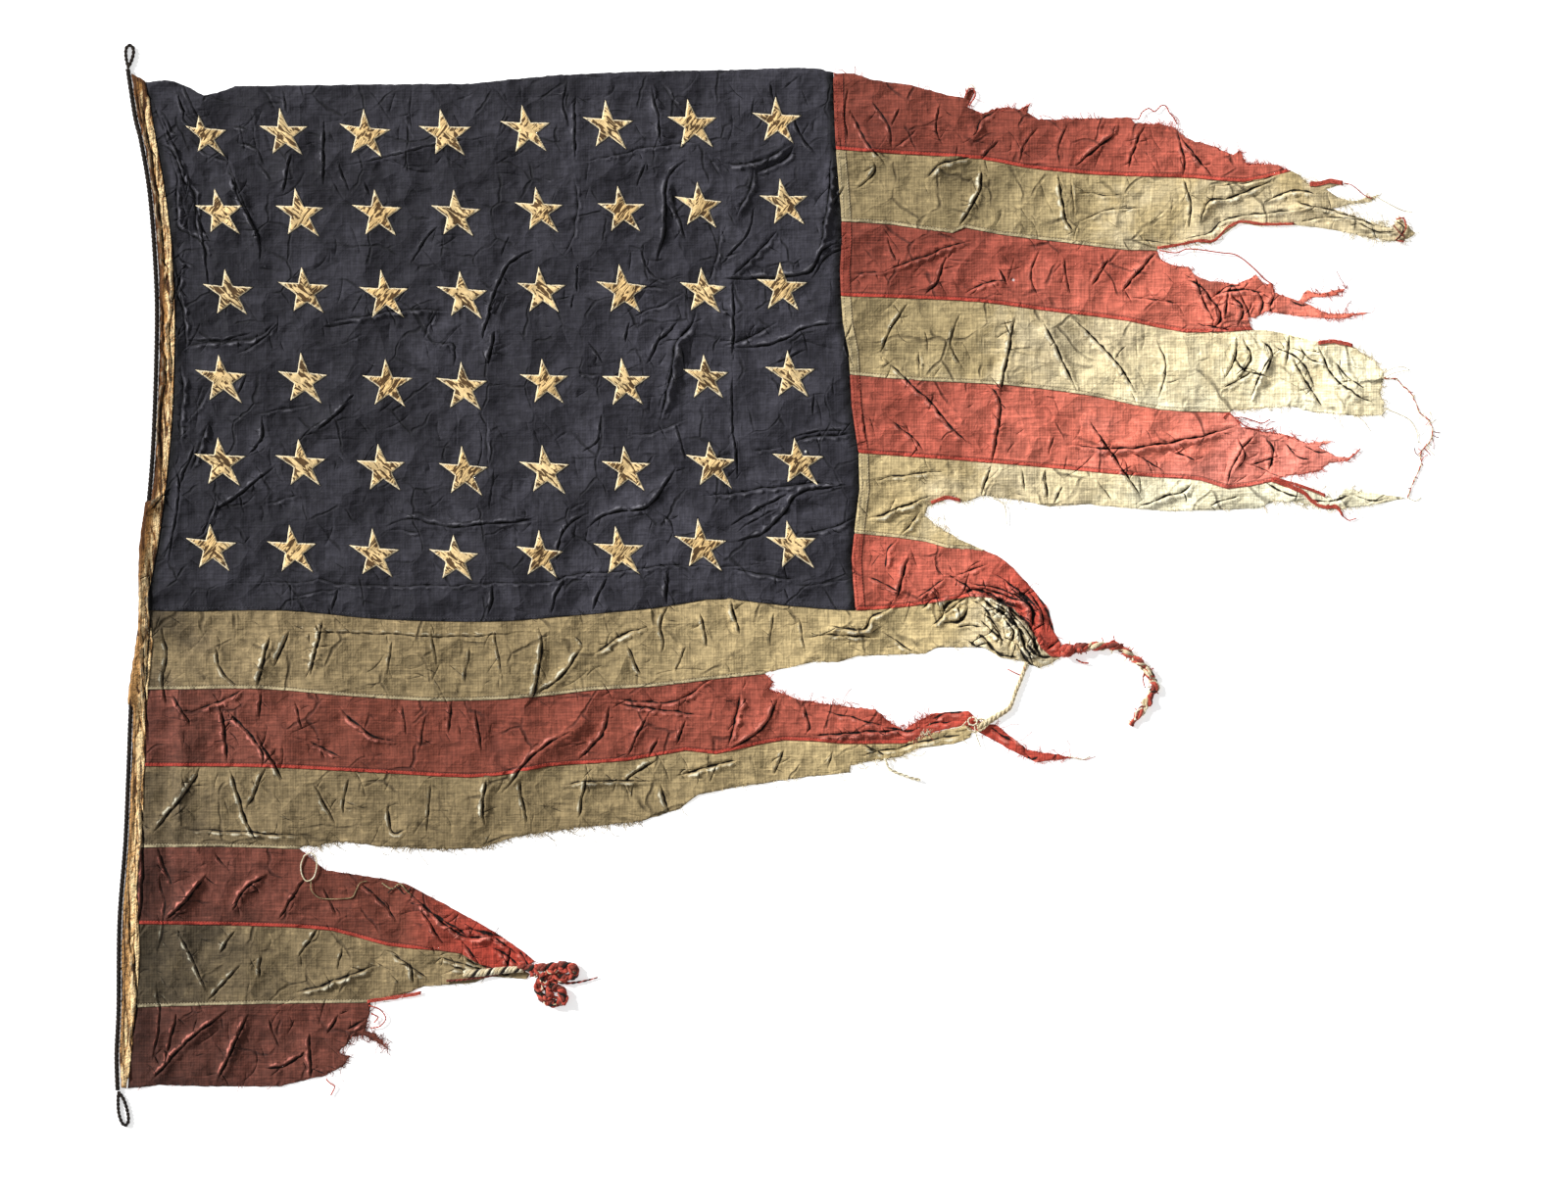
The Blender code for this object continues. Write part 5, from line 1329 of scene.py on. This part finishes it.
def makeKnot():
    knot = Yarns("knotted_yarn", ["creamYarn", "redYarn", "maroonYarn", "whiteYarn", "ropeYarn"])
    path = smoothLine(place(tailTable["core"]), 0.0018)
    heights = 0.0062 + 0.0015 * np.sin(np.linspace(0, 9, len(path)))
    # the core under the curls is wound partly of dark strands, painted shade between the loops
    knot.plied(lift(path, heights), 0.0060 + 0.0010 * np.sin(np.arange(len(path)) * 0.7), 0.026,
               ["maroonYarn", "redYarn", "ropeYarn", "maroonYarn"])
    path = smoothLine(place(tailTable["roll"]), 0.0018)
    knot.plied(lift(path, 0.0052), np.linspace(0.0062, 0.0050, len(path)), 0.022,
               ["creamYarn", "whiteYarn", "ropeYarn", "creamYarn"])
    for i, (x, y, wide, tall) in enumerate(tailTable["curls"]):
        for k in range(3):
            # every other curl takes a dark rope-coloured strand, painted shade among the loops
            word = ("redYarn", "creamYarn", "ropeYarn")[k] if i % 2 else ("redYarn", "redYarn", "whiteYarn")[k]
            steps = np.arange(0, dice.uniform(3.6, 6.0), 0.42)
            spin = dice.uniform(0, 6.28)
            size = dice.uniform(0.45, 0.85)
            loop = np.column_stack([x + wide * size * np.cos(steps + spin) + dice.normal(0, 0.5, len(steps)),
                                    y + tall * size * np.sin(steps * 1.15 + spin) + dice.normal(0, 0.5, len(steps))])
            curl = smoothLine(place(loop), 0.0016)
            rise = 0.0085 + 0.0040 * np.sin(np.linspace(0, 4.5, len(curl)) + spin)
            thick = 0.0023 if word == "redYarn" else 0.0012
            knot.tube(lift(curl, rise), thick * (1 + 0.25 * np.sin(np.arange(len(curl)))), 6, word)
    path = smoothLine(place(tailTable["spike"]), 0.0022)
    knot.plied(lift(path, np.linspace(0.005, 0.0026, len(path))), np.linspace(0.003, 0.0012, len(path)), 0.018,
               ["ropeYarn", "redYarn"], 5)
    knot.finish("cream", ["knotted_end"])


makeTail()
makeLinks()
makeKnot()


# frayed threads along the torn edges, and the longer loose ones
frayTable = {
    "spacing": 0.0036, "length": (0.003, 0.014), "radius": (0.00042, 0.00075), "longShare": 0.10,
    "longLength": (0.012, 0.034), "elsewhere": 0.12,
}


def fray(bundle, name, words):
    outline, kinds = cloth[name]["outline"], cloth[name]["kinds"]
    away = outward(outline)
    dense = np.linalg.norm(np.roll(outline, -1, axis=0) - outline, axis=1)
    for i, kind in enumerate(kinds):
        if kind != "free":
            continue
        clump = max(0.15, 1 + 1.6 * noiseAt(outline[i, 0] * 16, outline[i, 1] * 16, 6.6))
        clump *= tornAt(outline[i]) or frayTable["elsewhere"]
        # in the lower left the threads take darker yarns, painted shade like the cloth there
        shadedCorner = outline[i, 0] < -0.1 and outline[i, 1] < -0.1
        shades = [{"redYarn": "maroonYarn"}.get(word, "khakiYarn") if shadedCorner else word for word in words]
        for _ in range(dice.poisson(clump * dense[i] / frayTable["spacing"])):
            long = dice.random() < frayTable["longShare"]
            length = dice.uniform(*frayTable["longLength" if long else "length"])
            angle = math.atan2(away[i, 1], away[i, 0]) + dice.normal(0, 0.7)
            bend = dice.normal(0, 1.6)
            start = outline[i] - away[i] * 0.0015
            count = 7 if long else 5
            path = [start]
            for k in range(count):
                turn = angle + bend * k / count + dice.normal(0, 0.25)
                path.append(path[-1] + length / count * np.array([math.cos(turn), math.sin(turn)]))
            heights = np.linspace(0.0024, 0.0006 + dice.random() * 0.001, len(path))
            radius = dice.uniform(*frayTable["radius"])
            shade = shades[dice.integers(len(shades))]
            bundle.tube(lift(np.array(path), heights), np.linspace(radius, radius * 0.6, len(path)), 3, shade)


# each loose thread: its finish, radius in mm, lift in mm, then its points
looseRows = """
    redYarn 1.3 3 1153,121 1161,122 1165,115 1172,111 1178,114 1185,108 1190,109 1193,115 1197,120 1201,127;
    redYarn 1.1 3 1183,256 1200,258.5 1213,254.5 1245,258 1262,261 1278,273 1290,285 1298,290;
    redYarn 0.8 4 1371,187 1380,190 1391,199 1400,203; whiteYarn 0.8 3 1404,201 1420,210 1431,215 1441,217;
    ropeYarn 1.1 7 1425,227 1431,232 1429,240 1423,246; maroonYarn 1.3 7 1421,230 1427,238 1433,243;
    redYarn 1.6 5 1424,224 1431,223 1434,232 1430,240 1424,245 1432,247;
    whiteYarn 0.7 2 1413,380 1422,376 1432,374.5 1438,378; whiteYarn 0.7 2 1412,385 1425,380 1438,378;
    whiteYarn 0.8 2 1409,424 1414,418 1418,419 1428,423 1438,429 1445,440 1447,452;
    whiteYarn 0.5 1 1447,445 1455,436 1465,428; whiteYarn 0.5 1 1446,450 1456,458 1464,465;
    redYarn 1.2 3 1248,427 1253,422 1260,427 1267,426 1280,430 1288,432 1296,428;
    redYarn 1 3 1262,428 1272,436 1290,439 1299,437; whiteYarn 0.9 3 1013,509 1022,512 1026,520 1027,535;
    redYarn 1.6 3 1098,673 1104,676 1111,677; redYarn 1.2 5 1169,683 1166,692 1168,702;
    redYarn 1 3 1028,683 1036,687 1043,690;
    whiteYarn 1.5 5 992,731.5 996.2,733.5 996.4,738 993,740.3 988.8,738.6 988,734.4 991,731.6;
    whiteYarn 1.2 5 994,740 996,750 1000,762; whiteYarn 1.2 5 986,736 980,742 970,744;
    creamYarn 1.8 4 985,742 993,747 1003,744 1008,738 1002,734 994,736;
    whiteYarn 2.6 3 903,774 907,784 914,788 922,791 930,794 939,796;
    whiteYarn 1.1 4 311,873 318,870.5 323,876 323.5,886 320,896 313,899 308.5,892 307.5,882 311,873;
    oliveYarn 0.8 4 318,897 318,907 322,913 330,917 352,917 360,915 364,908 368,901 375,899;
    oliveYarn 1.3 4 390,901 400,907 408,902 415,909 420,914; ropeYarn 1.3 4 396,911 405,905 413,912 420,906;
    maroonYarn 2 3 456,1001 478,999 500,996 514,992; redYarn 1.3 3 377,1026 388,1030 394,1039 388,1047 379,1049;
    redYarn 1.1 3 379,1034 386,1038 382,1044; redYarn 1.1 3 333,1101 337,1105 342,1109 338,1118;
    whiteYarn 0.8 1 1436,508 1444,511 1450,508; whiteYarn 0.8 1 1090,772 1104,775 1112,772;
    whiteYarn 0.7 2 985,100 988,90 991,86 995,91; redYarn 1.6 3 984,100 988,92 993,91 995,98 989,108;
    ropeYarn 1 3 131.4,69 131,76 133,84; redYarn 1 2 1388,458 1382,464 1373,471;
    redYarn 1 2 1370,527 1376,531 1384,529; whiteYarn 0.6 2 822,458 823,461 822,464
"""
# each frayed ribbon: its finish, width in mm, lift in mm, then its points
ribbonRows = """
    redYarn 6 3.5 1336,188 1345,188 1357,185 1370,187;
    redYarn 3.6 4 1181,253 1200,250.5 1222,246 1238,246 1252,233 1266,226.5 1290,229 1320,228.5;
    redYarn 5 3.5 1345,350 1358,348.5 1370,350 1380,353;
    redYarn 5.5 4 1297,489.5 1315,496 1330,503 1338,511 1350,517 1363,517.5 1370,526;
    redYarn 4 4.5 1300,488.5 1320,494 1338,500 1352,506; redYarn 4.5 3.5 375,1022 395,1019 415,1016 430,1013;
    redYarn 4.5 3.5 950,513 966,508 980,511
"""


def makeLoose():
    words = ["redYarn", "whiteYarn", "creamYarn", "khakiYarn", "maroonYarn", "ropeYarn", "oliveYarn"]
    bundle = Yarns("loose_threads", words)
    for n in range(1, 14):
        fray(bundle, f"stripe_{n:02d}", ["redYarn"] if n % 2 else ["whiteYarn", "creamYarn"])
    for word, radius, tall, *points in rowsOf(looseRows):
        path = smoothLine(wander(place(points), 0.0006, 200), 0.0025)
        if len(path) < 3:
            continue
        heights = 0.001 * (tall + radius + 0.6 * np.sin(np.linspace(0, 5, len(path))))
        if radius > 1.15:
            bundle.plied(lift(path, heights), radius * 0.001, radius * 0.007, [word, word], 5)
        else:
            bundle.tube(lift(path, heights), radius * 0.0010, 5, word)
    for word, width, tall, *points in rowsOf(ribbonRows):
        path = smoothLine(place(points), 0.004)
        for k in range(4):
            offset = (k - 1.5) * width * 0.00028
            shifted = path + [0, offset] + dice.normal(0, 0.0003, path.shape)
            heights = 0.001 * tall + 0.0003 * np.sin(np.arange(len(path)) * 0.9 + k)
            bundle.tube(lift(shifted, heights), width * 0.0002, 5, word)
    return bundle.finish("cream")


loose = makeLoose()


# stitches: short raised dashes in rows
stitchTable = {"length": 0.0030, "gap": 0.0016, "radius": 0.00042}


def stitchRow(bundle, line, offset, word, ground):
    run = unit(np.gradient(line, axis=0))
    row = line + np.column_stack([run[:, 1], -run[:, 0]]) * offset
    lengths = lengthsOf(row)
    at = 0.002
    while at < lengths[-1] - 0.004:
        spots = []
        for share, bulge in ((0, 0.0), (0.5, 0.00035), (1, 0.0)):
            x = np.interp(at + share * stitchTable["length"], lengths, row[:, 0])
            y = np.interp(at + share * stitchTable["length"], lengths, row[:, 1])
            hit = ground.ray_cast(Vector((x, y, 1)), Vector((0, 0, -1)))[0]
            if hit is None:
                break
            spots.append((x, y, hit.z + 0.0001 + bulge))
        if len(spots) == 3:
            bundle.tube(np.array(spots), stitchTable["radius"], 3, word)
        at += stitchTable["length"] + stitchTable["gap"] + dice.normal(0, 0.0002)


def makeStitches():
    bundle = Yarns("stitching", ["redYarn", "creamYarn", "blueYarn", "whiteYarn"])
    graph = bpy.context.evaluated_depsgraph_get()
    for name in clothNames:
        outline, kinds = cloth[name]["outline"], cloth[name]["kinds"]
        ground = BVHTree.FromObject(cloth[name]["piece"], graph)
        word = {"canton": "blueYarn", "heading": "creamYarn"}.get(name)
        word = word or ("redYarn" if int(name[-2:]) % 2 else "creamYarn")
        for kind, offsets in (("lower", (-0.0045,)), ("side", (-0.004, -0.0135))):
            here = kinds == kind
            if not here.any():
                continue
            turn = int(np.flatnonzero(~here)[0]) if (~here).any() else 0
            loop, flags = np.roll(outline, -turn, axis=0), np.roll(here, -turn)
            start = None
            for i in range(len(loop) + 1):
                on = i < len(loop) and flags[i]
                if on and start is None:
                    start = i
                if not on and start is not None:
                    if i - start > 3:
                        for offset in offsets:
                            stitchRow(bundle, loop[start:i], offset, word, ground)
                    start = None
    return bundle.finish("cream")


stitches = makeStitches()


# what each sheet was cut to, width by length in metres, worked out and not kept
def declareSheets():
    for name in clothNames:
        width, length = sorted(float(v) for v in cloth[name]["size"])
        flatArea = cloth[name]["area"] * 1.02
        width = max(width * 0.5, min(width, flatArea / length * 1.04))
        min(flatArea, length * width)


declareSheets()


# floor, light and camera
stageLook = {
    "floor": (0.93, 0.93, 0.93), "floorGlow": 0.50, "world": 0.36, "key": 5.0, "keyTurn": 150, "keyTilt": 61,
    "keySize": 10, "lens": 85,
}


def makeStage():
    bpy.ops.mesh.primitive_plane_add(size=14, location=(0, 0, 0))
    floor = bpy.context.active_object
    floor.name = "floor"
    finish = Finish("pale floor", Emission_Strength=stageLook["floorGlow"])
    patchy = finish.grain(3, 2.0)
    tone = finish.mix(patchy * 0.1, stageLook["floor"], (0.90, 0.90, 0.90))
    floor.data.materials.append(finish.wire(tone, patchy * 0.05 + 0.9, [(patchy, 0.0)]))
    world = bpy.data.worlds.new("studio")
    world.use_nodes = True
    world.node_tree.nodes["Background"].inputs["Color"].default_value = (1, 1, 1, 1)
    world.node_tree.nodes["Background"].inputs["Strength"].default_value = stageLook["world"]
    bpy.context.scene.world = world
    light = bpy.data.lights.new("key", "SUN")
    light.energy = stageLook["key"]
    light.angle = math.radians(stageLook["keySize"])
    lamp = addPiece("key", light)
    turn, tilt = math.radians(stageLook["keyTurn"]), math.radians(stageLook["keyTilt"])
    towards = Vector((math.cos(turn) * math.sin(tilt), math.sin(turn) * math.sin(tilt), math.cos(tilt)))
    lamp.rotation_euler = towards.to_track_quat("Z", "Y").to_euler()
    camera = bpy.data.cameras.new("camera")
    camera.lens, camera.sensor_width = stageLook["lens"], 36
    viewer = addPiece("camera", camera)
    middle = place([(photo["midX"], photo["midY"])])[0]
    across = photo["across"] * photo["pixel"]
    viewer.location = (middle[0], middle[1], across * stageLook["lens"] / 36)
    bpy.context.scene.camera = viewer
    bpy.context.scene.view_settings.view_transform = "Standard"
    bpy.context.scene.view_settings.look = "None"


makeStage()
print("stage: floor, light and camera set")

bpy.context.view_layer.update()
